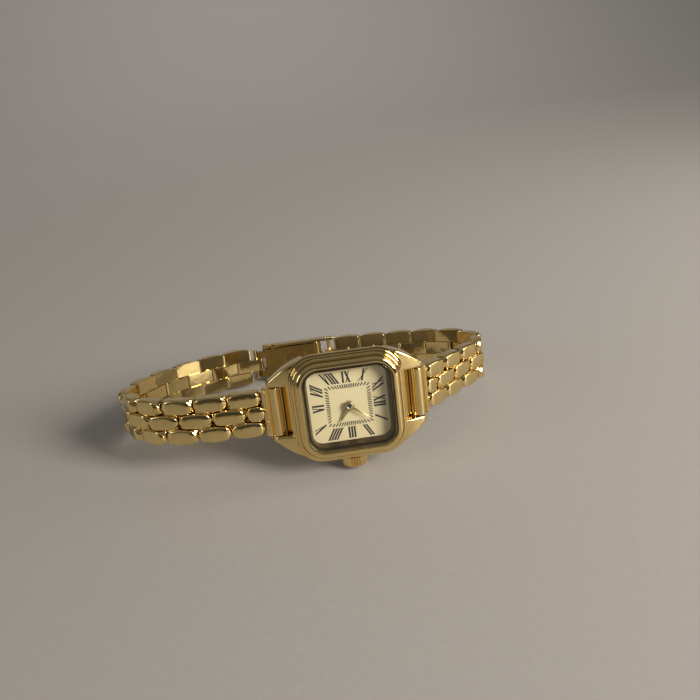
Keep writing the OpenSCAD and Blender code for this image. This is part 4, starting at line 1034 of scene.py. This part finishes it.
def make_floor():
    """A pale floor that curves up far behind the watch."""
    side = [(-FLOOR_HALF, 0.0), (FLAT_TO, 0.0)]
    for deg in range(10, 91, 10):
        a = math.radians(deg)
        side.append((FLAT_TO + CURVE_R * math.sin(a), CURVE_R - CURVE_R * math.cos(a)))
    side.append((FLAT_TO + CURVE_R, WALL_TOP))
    verts = [(x, y, z) for y, z in side for x in (-FLOOR_HALF, FLOOR_HALF)]
    faces = [(2 * k, 2 * k + 1, 2 * k + 3, 2 * k + 2) for k in range(len(side) - 1)]
    floor = new_object("floor", verts, faces)
    floor.data.shade_smooth()
    floor.data.materials.append(floor_material())


def studio_world():
    """A soft room: dark in front of the dial, lighter overhead and behind."""
    world = bpy.data.worlds.new("studio")
    bpy.context.scene.world = world
    world.use_nodes = True
    t = world.node_tree
    coord = t.nodes.new("ShaderNodeTexCoord")
    slope = t.nodes.new("ShaderNodeVectorMath")
    slope.operation = "DOT_PRODUCT"
    slope.inputs[1].default_value = (0.0, 0.55, 0.83)
    half = t.nodes.new("ShaderNodeMapRange")
    half.inputs["From Min"].default_value = -0.6
    half.inputs["From Max"].default_value = 1.0
    ramp = t.nodes.new("ShaderNodeValToRGB")
    t.links.new(coord.outputs["Generated"], slope.inputs[0])
    t.links.new(slope.outputs["Value"], half.inputs["Value"])
    t.links.new(half.outputs["Result"], ramp.inputs["Fac"])
    t.links.new(ramp.outputs["Color"], t.nodes["Background"].inputs["Color"])
    dark, light = ramp.color_ramp.elements
    dark.position, dark.color = 0.05, (0.045, 0.042, 0.038, 1)
    light.position, light.color = 0.75, (0.21, 0.205, 0.20, 1)


def lamp(name, at, size, power, colour, aim=(0.005, -0.012, 0.012)):
    """A soft rectangular lamp that faces the watch unless told otherwise."""
    d = bpy.data.lights.new(name, "AREA")
    d.shape = "RECTANGLE"
    d.size, d.size_y = size
    d.energy = power
    d.color = colour
    o = bpy.data.objects.new(name, d)
    bpy.context.scene.collection.objects.link(o)
    o.location = at
    o.visible_camera = False
    o.rotation_euler = (Vector(aim) - Vector(at)).to_track_quat("-Z", "Y").to_euler()


# camera of the photograph, fitted in the frame of the bracelet's plane, in mm
FIT_AT = Vector((-6.12, -104.60, 34.95))
FIT_LOOK = Vector((0.0712, 0.9680, -0.2405))
FIT_UP = Vector((0.1348, 0.2295, 0.9639))
FOCAL_PX, FRAME_PX, SENSOR = 598.6, 700, 36


def make_camera():
    turn = LYING.to_3x3()
    look = (turn @ FIT_LOOK).normalized()
    right = look.cross(turn @ FIT_UP).normalized()
    up = right.cross(look)
    cam = bpy.data.objects.new("camera", bpy.data.cameras.new("camera"))
    bpy.context.scene.collection.objects.link(cam)
    at = Matrix.Translation((LYING @ FIT_AT) * MM)
    cam.matrix_world = at @ Matrix((right, up, -look)).transposed().to_4x4()
    cam.data.sensor_width = SENSOR
    cam.data.lens = SENSOR * FOCAL_PX / FRAME_PX
    cam.data.clip_start = 0.002
    bpy.context.scene.camera = cam


make_floor()
studio_world()
lamp("key", (0.42, -0.29, 0.26), (0.20, 0.30), 4.2, (1.0, 0.97, 0.92))
lamp("right_window", (0.34, 0.02, 0.16), (0.05, 0.30), 0.22, (1.0, 0.98, 0.94))
lamp("left_window", (-0.44, -0.125, 0.19), (0.18, 0.18), 0.3, (0.95, 0.97, 1.0))
lamp("backdrop", (0.0, 0.35, 0.9), (0.8, 0.3), 6.5, (0.97, 0.99, 1.0), aim=(-0.2, 1.3, 0.5))
make_camera()
bpy.context.scene.view_settings.view_transform = "Standard"
